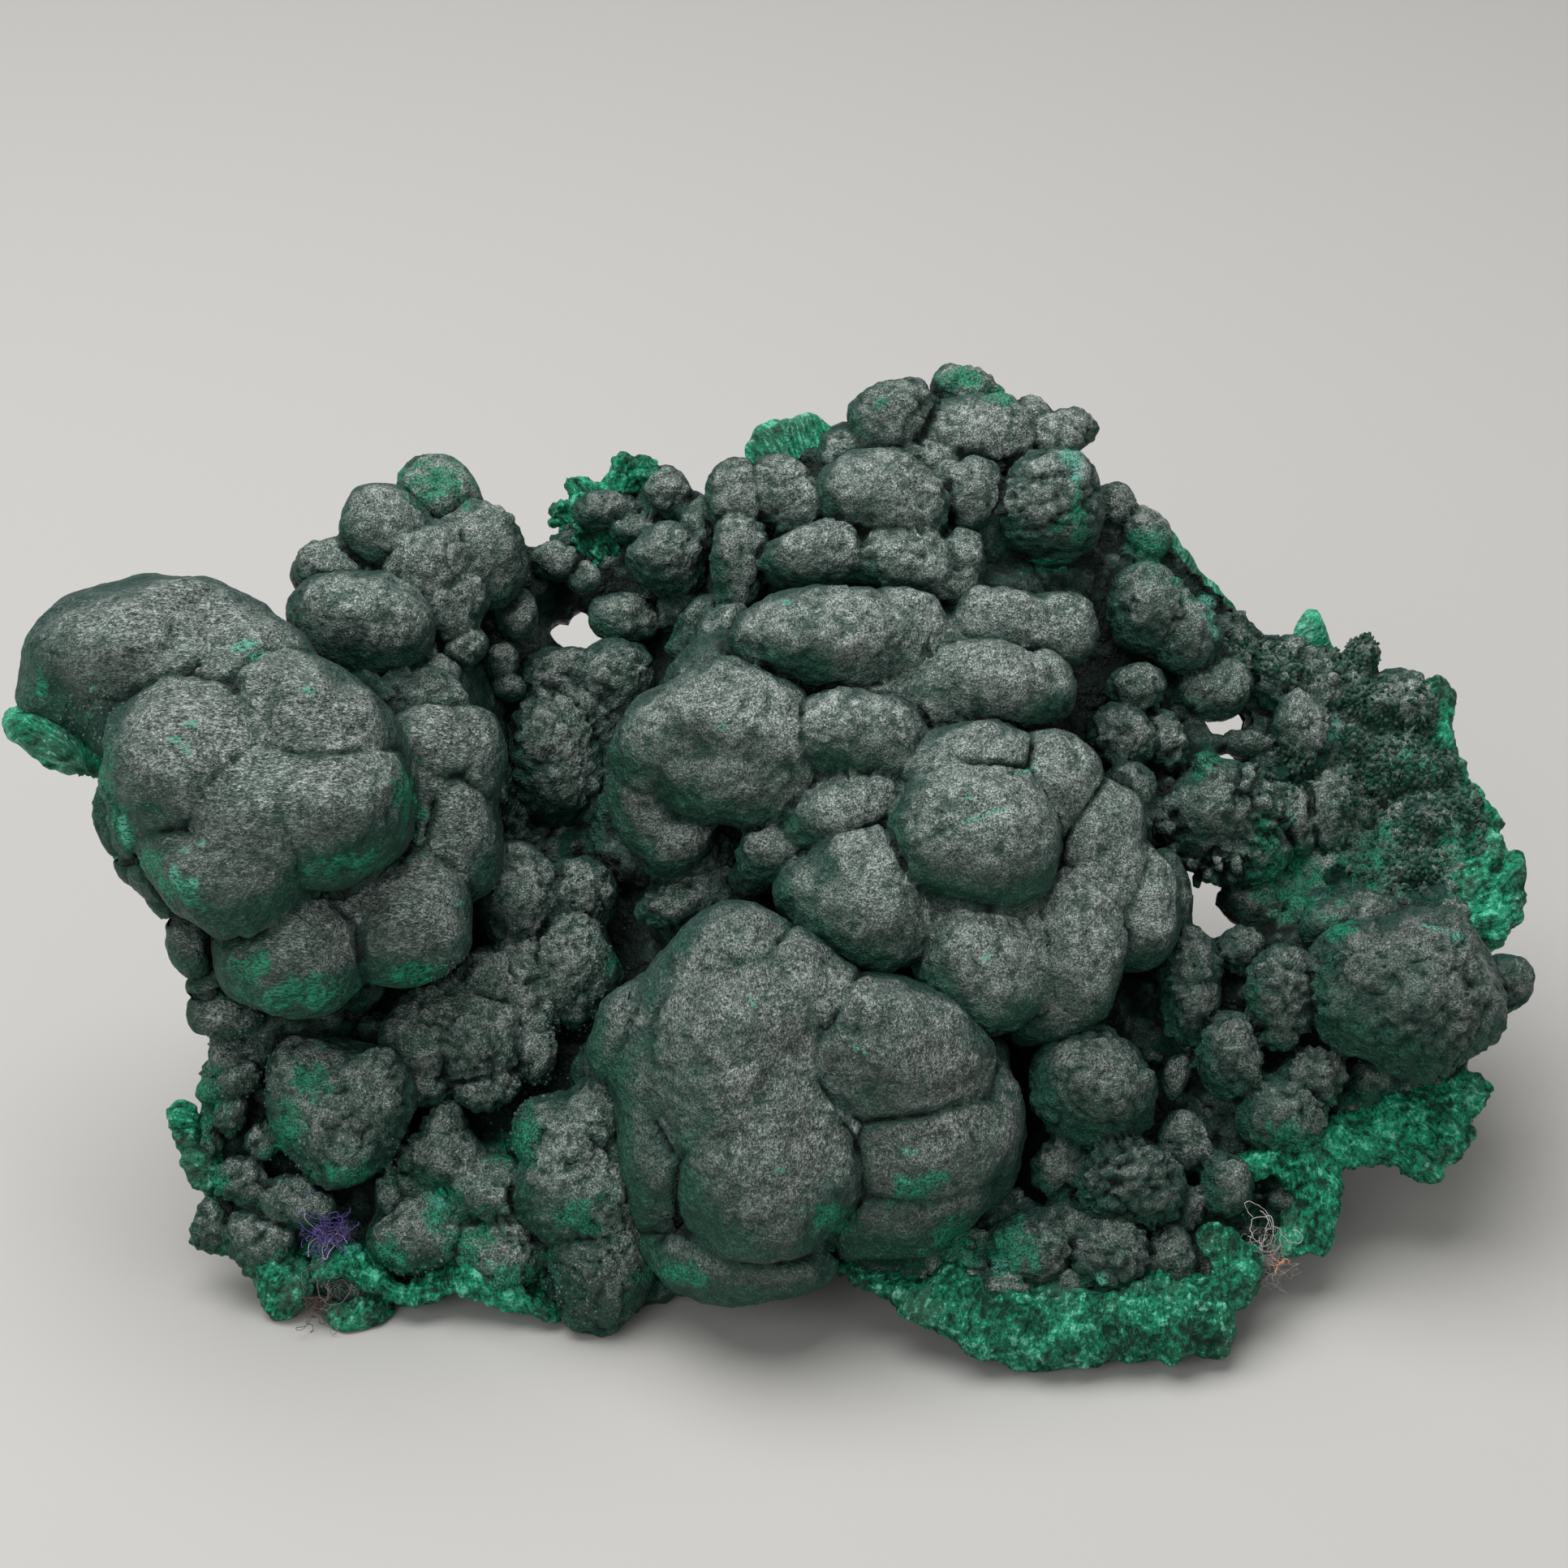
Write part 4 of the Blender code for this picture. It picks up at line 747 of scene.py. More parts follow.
knobs = [knob(k) for k in range(KNOBS) if math.sin(KNOB_TURN * k) < 0.5 or k % 3 == 0]
right_wing = velvety_piece(
    "right_wing_lobes", RIGHT_WING + knobs, 900, velvet_green, melt=0.4, warp=1.1, warts=1.0, wart_size=1.9,
    rings=0.3,
)


# Lower right lobes
# The separate round lobes of the lower right, ringed near their rims, and the big one at the far right.
# One of them is wrinkled, and their nap has a slight shine.

LOWER_RIGHT = [
    (38.3, 35.2, -7, 8.7, 7.8, -5), (49.6, 47.2, -16, 4.1, 7.8), (48.2, 36.6, -12, 1.8, 2.8),
    (49.2, 28.6, -10, 3.8, 4.2), (54.8, 39.2, -12, 4.3, 5.6), (61.6, 46.8, -13, 4.9, 5.9),
    (61.6, 42, -12, 2.7, 2.3), (55.8, 52, -19, 3.4, 3.2), (70, 55, -18, 6.6, 4.4, 10),
    (78.6, 46.4, -10, 9.4, 10.8), (71.6, 46.9, -10.6, 6.8, 9.2, 8), (89.2, 48, -18.6, 3.6, 3.8, -10),
    (65.2, 36.3, -12, 4.2, 3.8), (61.4, 32.2, -11, 5.4, 5), (54.2, 23.4, -7, 3.3, 4.4),
    (42.6, 23.3, -5, 6.8, 6), (33.9, 25, -7, 3.8, 3.9), (49.4, 20.2, -7, 2, 3), (40, 13.9, -3, 5.2, 5),
    (30.2, 14.6, -3, 5.4, 4.8), (34, 17, -7, 7, 4), (47.6, 14.2, -5, 3.2, 4.2), (44.6, 8.3, -2, 2.3, 2.3),
    (48.9, 8.8, -3, 2.3, 2.3), (21.2, 15.2, -5, 3.1, 3.1), (26, 19, -10, 5, 5),
]
velvet_slick = velvet("velvet with a shine", green=0.25, light=0.8, gloss=0.16)
lower_right = velvety_piece(
    "lower_right_lobes", LOWER_RIGHT, 1000, velvet_slick, melt=0.45, warts=1.1, wart_size=1.7, rings=1.1,
    swells=0.8, wrinkled=(15,),
)


# Crust
# The thin crust that joins the lobes: a curved sheet with gaps through it, small nodules all over its front
# and low round lumps on its back. The depths are across, up and toward, the gaps across, up and half sizes.

CRUST_DEPTHS = [
    (-56, 8, -11), (-66, 20, -14), (-62, 30, -17), (-70, 45, -12), (-62, 55, -10), (-65, 70, -5),
    (-80, 80, -10), (-52, 82, -14), (-45, 70, -20), (-52, 95, -34), (-42, 104, -42), (-30, 100, -50),
    (-28, 76, -44), (-25, 90, -50), (-20, 104, -50), (-32, 55, -32), (-24, 62, -36), (-42, 42, -22),
    (-30, 38, -22), (-46, 25, -17), (-32, 22, -15), (-38, 12, -12), (-23, 8, -9), (-20, 20, -13),
    (-10, 30, -18), (-2, 12, -7), (8, 13, -7), (10, 35, -20), (-8, 52, -22), (10, 55, -20), (-12, 70, -24),
    (12, 72, -20), (5, 88, -30), (20, 90, -30), (2, 105, -42), (20, 110, -46), (32, 110, -46),
    (30, 98, -38), (30, 60, -20), (30, 45, -18), (22, 6, -2), (36, 4, 0), (50, 6, -3), (38, 20, -12),
    (30, 28, -16), (46, 32, -18), (56, 28, -14), (59.5, 20, -17), (44, 48, -19), (56, 46, -18),
    (44, 66, -30), (52, 58, -34), (58, 66, -38), (50, 80, -40), (44, 90, -42), (46, 102, -48),
    (58, 90, -48), (66, 82, -46), (74, 72, -42), (80, 80, -43), (86, 66, -38), (84, 56, -30), (70, 58, -28),
    (76, 46, -18), (66, 36, -18), (78, 32, -17),
]
CRUST_OUTLINE = [
    (-86, 76), (-84, 84), (-74, 88), (-62, 87), (-56, 92), (-54, 101), (-46, 107), (-38, 107), (-31, 101),
    (-27, 104), (-20, 109), (-13, 107), (-9, 104), (-6, 108), (2, 113), (12, 117), (22, 119), (34, 115),
    (37, 108), (43, 105), (51, 98), (58, 90.5), (66, 90), (72, 85), (80, 84), (81.5, 76), (86, 70),
    (87.5, 58), (86, 46), (83, 33), (78, 27), (70, 27), (66, 20), (62, 15), (57, 9), (51, 4), (36, 2.5),
    (24, 4), (16, 9), (8, 12.5), (-2, 11.5), (-12, 10), (-20, 7), (-28, 8.5), (-36, 11.5), (-44, 11),
    (-52, 8.5), (-62, 10), (-66, 16), (-71, 22), (-72, 34), (-70, 44), (-73, 54), (-78, 62), (-83, 70),
]
CRUST_GAPS = [
    (-25.2, 90.6, 3.6, 2.4), (-59.8, 12, 2.2, 2.2), (53.6, 79.6, 3.3, 1.6), (54.6, 74.9, 2.5, 1.3),
    (51.6, 57.6, 5, 5.4), (68.7, 59.3, 1.8, 1.8),
]
CRUST_WIDTH = 180.0
CRUST_HEIGHT = 122.0
CRUST_THICKNESS = 5.0
CRUST_BLEND = 7.0
BACK_LUMP_STEP = 10.5
NODULES = 260
SQUARE = list(itertools.product((-1, 0, 1), repeat=2))
CROSS = [(0, 0), (1, 0), (-1, 0), (0, 1), (0, -1)]


def inside_outline(across, up):
    """Whether a place on the face lies inside the crust's outline, by counting the edges to its right."""
    inside = False
    for (a0, u0), (a1, u1) in zip(CRUST_OUTLINE, CRUST_OUTLINE[1:] + CRUST_OUTLINE[:1]):
        if (u0 > up) != (u1 > up) and across < a0 + (up - u0) / (u1 - u0) * (a1 - a0):
            inside = not inside
    return inside


def whole_at(across, up):
    """Whether the crust has no gap at a place inside its outline."""
    in_a_gap = any(math.hypot((across - a) / w, (up - u) / h) < 1.0 for a, u, w, h in CRUST_GAPS)
    return inside_outline(across, up) and not in_a_gap


def whole_round(across, up, reach, ways):
    """Whether the crust is whole at this reach from a place, all the ways given."""
    return all(whole_at(across + a * reach, up + u * reach) for a, u in ways)


def crust_depth(across, up):
    """The crust's depth at a place, blended from the known places round it."""
    known = np.array(CRUST_DEPTHS)
    distance = np.hypot(known[:, 0] - across, known[:, 1] - up)
    weight = np.exp(-0.5 * (distance / CRUST_BLEND) ** 2) + 1e-9
    return float((weight * known[:, 2]).sum() / weight.sum())


def face_place(point):
    """The across, up and toward of a world place in millimetres."""
    point = point + FOOTPRINT_MIDDLE
    toward = point.dot(TOWARD)
    spread = 1.0 - toward / VIEW_DISTANCE
    return point.x / spread, VIEW_MIDDLE_UP + (point.dot(UP) - VIEW_MIDDLE_UP) / spread, toward


def behind_the_crust(point, radius):
    """Whether a ball is hidden from the viewer by the crust."""
    across, up, toward = face_place(point)
    covered = all(inside_outline(across + a * radius, up + radius) for a in (-1.0, 0.0, 1.0))
    return covered and toward < crust_depth(across, up) - radius


def world_lobe(centre, halves):
    """A lobe placed in the world, with its halves along right, back and up."""
    return np.array(centre), np.eye(3), np.array(halves)


# The rear foot's masses, made into a piece further on: right, back and up from the table, then half sizes.
REAR_FOOT = [
    (10, 42, 12, 18, 15, 17), (15, 64, 14, 21, 20, 20), (5, 80, 15, 15, 13, 19), (25, 79, 11, 14, 13, 16),
    (10, 56, 34, 17, 17, 21), (20, 72, 38, 17, 17, 22), (3, 76, 46, 14, 14, 20), (26, 82, 57, 13, 11, 15),
    (11, 86, 64, 16, 10, 13), (-10, 72, 40, 12, 9, 12), (40, 66, 36, 11, 9, 12),
]
LUMPS_PER_MASS = 16
LUMP_HALVES = (3.2, 7.0)

chance = random.Random(11)
rear_lobes = []
for right, back, height, *halves in REAR_FOOT:
    centre = Vector((right, back, height)) - FOOTPRINT_MIDDLE
    rear_lobes.append(world_lobe(centre, halves))
    for k in range(LUMPS_PER_MASS):
        rise = 1.0 - 2.0 * (k + 0.5) / LUMPS_PER_MASS
        turn = 2.4 * k + chance.uniform(-0.5, 0.5)
        level = math.sqrt(1.0 - rise * rise)
        way = Vector((math.cos(turn) * level, math.sin(turn) * level, rise))
        middle = centre + Vector([0.93 * w * half for w, half in zip(way, halves)])
        radius = chance.uniform(*LUMP_HALVES)
        if middle.z > 1.0 and behind_the_crust(middle, radius):
            rear_lobes.append(world_lobe(middle, [radius * chance.uniform(0.8, 1.15) for _ in range(3)]))

lump_lobes = []
for row in range(int(CRUST_HEIGHT / BACK_LUMP_STEP)):
    for column in range(int(CRUST_WIDTH / BACK_LUMP_STEP)):
        shift = column + 0.5 * (row % 2)
        across = -0.5 * CRUST_WIDTH + shift * BACK_LUMP_STEP + chance.uniform(-3.0, 3.0)
        up = (row + 0.5) * BACK_LUMP_STEP + chance.uniform(-3.0, 3.0)
        half = chance.uniform(4.0, 7.5)
        if whole_round(across, up, half + 1.0, SQUARE):
            toward = crust_depth(across, up) - 0.5 * CRUST_THICKNESS
            lump_lobes.append(lobe(across, up, toward, half, half * chance.uniform(0.8, 1.2), 0, 0.55 * half))

nodule_lobes = []
while len(nodule_lobes) < NODULES:
    across, up = chance.uniform(-86.0, 88.0), chance.uniform(3.0, 118.0)
    half = 1.2 + 2.4 * chance.random() ** 2
    if whole_round(across, up, half, CROSS):
        toward = crust_depth(across, up) + 0.5 * CRUST_THICKNESS - 0.2 * half
        nodule_lobes.append(lobe(across, up, toward, half, half * chance.uniform(0.8, 1.2)))

bpy.ops.object.select_all(action="DESELECT")
bpy.ops.mesh.primitive_grid_add(x_subdivisions=150, y_subdivisions=102, size=1.0)
sheet = bpy.context.object
for vert in sheet.data.vertices:
    vert.co = (vert.co.x * CRUST_WIDTH, 0.5 * CRUST_HEIGHT + vert.co.y * CRUST_HEIGHT, 0.0)
bpy.ops.object.mode_set(mode="EDIT")
bpy.ops.mesh.select_mode(type="FACE")
bpy.ops.mesh.select_all(action="DESELECT")
bpy.ops.object.mode_set(mode="OBJECT")
for face in sheet.data.polygons:
    across, up, _ = face.center
    face.select = not whole_at(across, up)
bpy.ops.object.mode_set(mode="EDIT")
bpy.ops.mesh.delete(type="FACE")
bpy.ops.object.mode_set(mode="OBJECT")
for vert in sheet.data.vertices:
    across, up, _ = vert.co
    vert.co = place(across, up, crust_depth(across, up)) * MM
wall = sheet.modifiers.new("wall", "SOLIDIFY")
wall.thickness = CRUST_THICKNESS * MM
wall.offset = 0.0
bpy.ops.object.modifier_apply(modifier=wall.name)
bpy.ops.object.mode_set(mode="EDIT")
bpy.ops.mesh.select_all(action="SELECT")
bpy.ops.mesh.normals_make_consistent(inside=False)
bpy.ops.object.mode_set(mode="OBJECT")

crust = weld("crust", [sheet] + add_balls(lump_lobes, 3) + add_balls(nodule_lobes, 2), 0.74)
finish_lobes(
    crust, lump_lobes + nodule_lobes, 1100, melt=0.0, warts=1.3, wart_size=2.6, rings=0.0, swells=0.0
)

# Where moss-like heaps cover the wing: across, up, half sizes, roll.
WING_MOSS = [
    (78.4, 74.5, 10, 9.5, 0), (84, 69, 4, 8, 20), (76, 63, 8, 4, 0), (70, 88, 4, 3, 0), (72, 80, 4, 6, 0),
    (60, 88, 6, 2.4, -30), (62, 74, 3, 3, 0), (82, 82, 3, 3, 0),
]
points, normals = skin_of(crust)
across, up, toward = face_of(points)
heap = 1.1 * drift(points, 3.6, 1140) + 0.8 * drift(points, 1.9, 1141) - 0.5
heap *= cover(across, up, WING_MOSS, 0.3 * drift(points, 4.0, 1142)) * (normals @ np.array(TOWARD) > 0.0)
move_skin(crust, points + normals * heap[:, None])
# Painted shade in the hollows between the moss heaps.
paint_hollow_shade(crust, ramp(-heap, 0.5, 1.4) * 0.6)
ready(crust, velvet_green)


# Rear foot
# The coarse lumpy mass behind the ridge that the crust grew on, standing flat on the table. Its lobes were
# laid out with the crust's.

rear_foot = weld("rear_foot", add_balls(rear_lobes), 0.9)
finish_lobes(rear_foot, rear_lobes, 1200, melt=0.8, warts=0.8, wart_size=3.0, rings=0.2)
ready(rear_foot, velvet_green)


# Broken edges
# Where the crust broke, the fibres show from the side: silky bright green, combed out from one point, in
# ragged ridges. Each row is across, up, toward, half width, half height, half depth and roll.

LEFT_TIP = [
    (-92, 79, -8.6, 4.6, 3.4, 4.4, -20), (-88.4, 77.6, -7.6, 5.2, 3.6, 4.8, -18),
    (-84.6, 76, -6.8, 4.2, 3, 4.2, -22), (-83.2, 69.5, -9, 1.8, 3.4, 2.6, 0),
    (-80, 63.4, -9, 3, 1.8, 2.6, -35), (-75.6, 60, -8.5, 2.4, 1.6, 2.4, -30),
    (-71.4, 48.2, -10.5, 1.6, 0.9, 1.4, 20),
]
LOWER_LEFT_EDGES = [
    (-62.5, 11.8, -9.5, 3.4, 2.6, 3.2, -20), (-61.8, 8.9, -9.5, 2.2, 2.9, 2.6, -15),
    (-64.2, 12.8, -9.5, 2.2, 1.8, 2, 0), (-60, 9.8, -8.8, 1.4, 3, 2, -20), (-54.5, 7.4, -9.2, 2.4, 2, 3, 0),
    (-52.2, 7.2, -9.2, 3.6, 2, 3.6, 8), (-53, 13.4, -8.6, 2.6, 1.7, 2.8, -35),
    (-50.2, 11.4, -8.6, 2.6, 1.8, 2.8, -35), (-47.6, 9.9, -8.8, 2.3, 1.6, 2.6, -35),
    (-56.3, 12.9, -8.4, 1.6, 1.5, 2, 0), (-44.5, 10.2, -8.8, 3.4, 1.8, 3.4, 8),
    (-40, 11.2, -8.8, 3.2, 1.7, 3.2, 0), (-36, 10.8, -8.8, 3.2, 2.2, 3.2, -10),
    (-33, 9.6, -8.6, 3, 2.6, 3.6, -25), (-29.8, 7.9, -8.4, 2.8, 1.9, 3.4, -30),
    (-42.8, 21.4, -10, 1.7, 1.9, 2.2, 0), (-41.8, 18.6, -10, 1.9, 2.7, 2.6, 15),
    (-39.6, 15.6, -9.6, 2.3, 2.7, 2.8, 30), (-36.4, 12.8, -9, 2.8, 2.3, 3, -20),
    (-73.6, 31.2, -12, 1.6, 1.7, 2, 0), (-73, 28.8, -12, 1.7, 2.3, 2.2, 15),
    (-71.4, 25, -12, 1.6, 3.2, 2.2, 12), (-69.8, 16, -10.5, 1.4, 1.8, 1.8, 0),
]
BOTTOM_BAND = [
    (8.6, 12.6, -4.8, 3.6, 1.3, 2.8, -18), (12.6, 10.8, -3.6, 3.8, 2, 3.6, -28),
    (16.4, 8.6, -2.2, 3.6, 2.6, 4, -32), (20, 7.4, -1, 3.6, 4, 4.2, -30), (23.4, 6.2, -0.2, 4, 4.8, 4.4, 0),
    (27.8, 5.4, 0.2, 4.6, 4.8, 4.6, 0), (32.4, 5, 0.4, 4.8, 4.8, 4.8, 0),
    (37.4, 4.8, 0.4, 4.8, 4.6, 4.8, 0), (42.2, 5.2, 0.2, 4.6, 4.6, 4.8, 0),
    (47, 5.6, -0.2, 4.4, 4.4, 4.6, 10), (51.4, 6.6, -1, 3.8, 4.8, 4.4, 25),
    (54.6, 9.8, -3, 2.8, 4.4, 4, -35), (57, 13, -5.4, 2.2, 3.4, 3, -35),
    (21.4, 11.4, -2.4, 2.8, 2.4, 2.8, 0), (26, 10.8, -2.4, 2.4, 1.8, 2.4, 0),
    (46.2, 9.8, -2.2, 2.2, 2.3, 2.4, 0), (34.6, 9.4, -2.2, 2.2, 1.8, 2.4, 0),
    (40.4, 9.2, -2, 2.4, 1.6, 2.4, 0), (50.8, 10.4, -2.6, 2, 1.6, 2.2, 20), (55, 13.8, -4, 2.6, 5, 2.2, 38),
    (53, 16.6, -4.2, 2.6, 2.2, 2, 0),
]
RIGHT_EDGES = [
    (57.4, 24.8, -10.6, 2, 1.8, 2.4, 0), (60.2, 26.8, -11, 2.8, 2, 2.8, 0), (63.6, 26.4, -11, 3, 2.8, 3, 0),
    (66, 23.8, -11, 2.8, 3, 3, 0), (66.4, 20.2, -10.6, 2.6, 3, 3, 0), (65.4, 17, -10, 2.8, 2.6, 2.8, 0),
    (62.6, 15.6, -9.2, 2.8, 1.8, 2.4, 10), (64.2, 20.6, -11.6, 1.8, 3.6, 2.4, 0),
    (77, 32.2, -16.2, 8.4, 3.4, 3, 12), (83.6, 34.4, -17, 3.6, 2.8, 2.6, 25),
    (75, 28.8, -15, 5.2, 3.2, 3.2, 0), (78.6, 26.2, -14.8, 2.2, 2.8, 2.2, 15),
    (71, 29, -14, 3.8, 3.2, 3, 0), (80.8, 29.8, -15.6, 3.4, 3.4, 2.8, 35), (68, 28, -12.6, 3, 2.6, 2.8, 0),
    (86.8, 61, -33.4, 3.2, 2.8, 3.2, 30), (84.4, 58.8, -33, 3.6, 3, 3.2, 0),
    (88, 57.6, -32, 3.4, 3.6, 3.2, 0), (86.4, 54.2, -30, 3.6, 2.6, 3.2, 0),
    (90.4, 62, -34, 1.5, 2.2, 2, 15), (80.2, 83.2, -44, 2.3, 2.1, 2.2, 0),
    (80.6, 80, -43, 1.6, 3.2, 2.2, 0), (80.8, 76.4, -42, 1.6, 3.2, 2.2, 8),
    (82.2, 73.2, -41, 1.9, 2.6, 2.2, 25), (84.6, 70.6, -40, 2.2, 2.2, 2.2, 30),
    (86.2, 68, -39, 2.2, 2.8, 2.2, 15), (87, 64.6, -37, 2, 3, 2.4, 8),
]
SATIN_EDGES = [
    (46.6, 101.6, -48, 3, 1.9, 2.2, -48), (49.6, 98.4, -48.2, 3.4, 1.9, 2.2, -48),
    (52.6, 95, -48.6, 3.4, 1.8, 2.2, -49), (55.4, 92, -49, 3, 1.6, 2.2, -49),
    (57.4, 90.4, -49, 2, 1.5, 2, -40), (64.4, 91.6, -48.4, 1.8, 2.3, 1.3, 10),
    (66.6, 89.6, -48.2, 2.9, 1.6, 1.7, -38), (69, 87.4, -48, 2.4, 1.5, 1.7, -45),
    (66, 86.8, -46.8, 3.6, 1.3, 2, -20), (0.4, 113.4, -44.6, 5.2, 4.2, 3, 0),
    (3.4, 114, -44.6, 3.8, 3.2, 2.6, -14), (-2.8, 112.2, -44.4, 2.2, 2.6, 2.4, 0),
]
TUFTS = [
    (-19.2, 110.4, -47.6, 2.6, 2.6, 2.4, 0), (-17.2, 111.4, -47.6, 2.6, 2, 2.4, 0),
    (-22.6, 107.4, -48.6, 2.8, 2, 2.4, -10), (-25.2, 108.8, -48.8, 1.5, 1.7, 1.6, 30),
    (-27.6, 105.8, -49, 1.7, 1.3, 1.8, 0), (-24.6, 103.4, -49.2, 2.4, 2.8, 2.4, 0),
    (-22.2, 100.6, -49.2, 2.2, 3.4, 2.4, 0), (-26.4, 101.2, -49.2, 1.5, 1.4, 1.8, 0),
]


def fibrous(name, bright=1.0, silk=0.0):
    """Broken malachite: fibres in bright and deep green with pale mint ends, a little paler on crests as a
    painted highlight, and painted shade between the ridges and crumbs, the silkier the less crumbly.
    """
    material, shader, shade = new_material(name, 0.25)
    at = shade.node("ShaderNodeTexCoord", out="Object")
    combed = shade.stretched(shade.node("ShaderNodeUVMap", {"uv_map": "fibres"}), (1.0, 0.22, 1.0))
    strand = shade.noise(combed, 0.5 - 0.15 * silk, 3.0, 0.65)
    clump = shade.noise(at, 1.0, 4.0, 0.75)
    patch = shade.noise(at, 5.0, 3.0, 0.6)
    speck = shade.noise(at, 0.45, 1.0)
    crest, deep, tone = shade.mask("crest"), shade.mask("deep"), shade.mask("tone")
    mixed = strand * (0.4 + 0.25 * silk) + clump * (0.8 - 0.5 * silk) + patch * 0.5 + tone * 0.1 + 0.19 * silk
    fresh, lighter = lit((0.003, 0.165, 0.082), bright), lit((0.016, 0.36, 0.20), bright)
    colour = shade.blend(mixed.between(0.74, 0.86), (0.0006, 0.030, 0.016), fresh)
    colour = shade.blend(mixed.between(0.86, 0.98) * 0.9, colour, lighter)
    grey = (shade.noise(at, 7.0, 2.0) + clump * 0.5).between(0.76, 0.88)
    colour = shade.blend(grey * 0.45, colour, (0.050, 0.095, 0.070))
    # Pale mint comes mostly from the fibres' noise and is lifted a little on crests as a painted highlight.
    pale = (crest * 0.14 + mixed + speck * 0.4).between(1.12, 1.27)
    colour = shade.blend(pale * 0.7, colour, (0.20, 0.58, 0.42))
    # Painted shade in the low parts between ridges and crumbs.
    colour = shade.blend(deep.between(0.2, 1.0) * 0.9, colour, (0.0005, 0.012, 0.007))
    bump = shade.bump(strand * 0.6 + clump * 0.9, 0.0009)
    lay(shade, shader, Base_Color=colour, Normal=bump, Roughness=0.56 - strand * 0.2)
    return material


def broken_piece(name, rows, origin, seed, material, ridges=0.8, crumble=0.9):
    """One stretch of broken edge: fibres run outward from the origin, a place on the face."""
    lobes = [lobe(a, u, t, w, h, roll, d) for a, u, t, w, h, d, roll in rows]
    piece = weld(name, add_balls(lobes), 0.36)
    thin_back(piece)
    move_skin(piece, grow_together(skin_of(piece)[0], lobes, 0.8, (0.9, 5.0), (0.6, 2.0), seed, 2, 1.0))
    points, normals = skin_of(piece)
    across, up, toward = face_of(points)
    reach = np.hypot(up - origin[1], across - origin[0])
    round_way = np.arctan2(up - origin[1], across - origin[0]) * np.median(reach)
    combed = np.stack([round_way, 0.2 * reach, 0.9 * toward], axis=1)
    near, after = cells(bend(combed, 0.45, 2.4, seed + 10), 1.3, seed + 14)
    ridge = 0.6 - near
    chunk, chunk_after = cells(bend(points, 0.6, 1.6, seed + 15), 2.2, seed + 19)
    crumb = 0.5 - chunk - 0.35 * np.exp(-(chunk_after - chunk) / 0.1)
    jag = np.abs(drift(combed * (1.0, 2.0, 1.0), 0.9, seed + 23))
    calm = 1.0 - 0.8 * ramp(points[:, 2], 2.0, 0.4)
    raised = ridges * ridge + crumble * (crumb + 0.7 * jag - 0.2) + 0.7 * drift(points, 4.0, seed + 20)
    move_skin(piece, points + normals * (raised * calm - 0.25)[:, None])
    # The crest mark lifts pale mint as a painted highlight, and the deep mark is painted shade in the low
    # parts.
    mark(
        piece,
        crest=ramp(0.7 * ridge + 0.6 * crumb, 0.1, 0.55),
        deep=ramp(0.7 * ridge + 0.7 * crumble * crumb, -0.05, -0.5),
        tone=drift(points, 1.6, seed + 22) * 0.5,
    )
    strands = piece.data.uv_layers.new(name="fibres")
    loops = np.empty(len(piece.data.loops), np.int32)
    piece.data.loops.foreach_get("vertex_index", loops)
    flat = np.stack([round_way + 0.35 * toward, reach], axis=1)[loops] * MM
    strands.data.foreach_set("uv", flat.astype(np.float32).ravel())
    ready(piece, material)
    return piece


fibres = fibrous("broken fibres", bright=1.15)
fibres_deep = fibrous("broken fibres, deeper", bright=0.85)
silk = fibrous("silky fibres", silk=1.0)
left_tip = broken_piece("left_tip", LEFT_TIP, (-85.5, 74.0), 2000, silk, crumble=0.15)
lower_left_edges = broken_piece(
    "lower_left_edges", LOWER_LEFT_EDGES, (-48.0, 30.0), 2100, fibres, crumble=0.5
)
bottom_band = broken_piece(
    "bottom_band", BOTTOM_BAND, (36.0, 60.0), 2200, fibres_deep, ridges=0.6, crumble=0.5
)
right_edges = broken_piece("right_edges", RIGHT_EDGES, (60.0, 48.0), 2300, fibres, crumble=0.45)
satin_edges = broken_piece("satin_edges", SATIN_EDGES, (15.0, 60.0), 2400, silk, ridges=0.25, crumble=0.0)
tufts = broken_piece("tufts", TUFTS, (-18.0, 95.0), 2500, fibres)


# Crumbs and grains
# Mossy crumbs on the right wing and shiny grains in the hollows, of malachite too. One crumb is modelled, and
# its copies are laid on the skin with sizes, turns and tones of their own.

def spots_on(pieces, areas, count, seed, outward):
    """Random places and their normals, on skin in the areas that faces the viewer more than outward says."""
    chance = np.random.default_rng(seed)
    points, normals = (np.concatenate(part) for part in zip(*(skin_of(piece) for piece in pieces)))
    across, up, _ = face_of(points)
    ragged = 0.3 * drift(points, 4.0, seed)
    share = cover(across, up, areas, ragged)
    share = share * (normals @ np.array(TOWARD) > outward) * (points[:, 2] > 0.6)
    most = int((share > 0).sum())
    chosen = chance.choice(len(points), min(count, most), replace=False, p=share / share.sum())
    return points[chosen], normals[chosen]


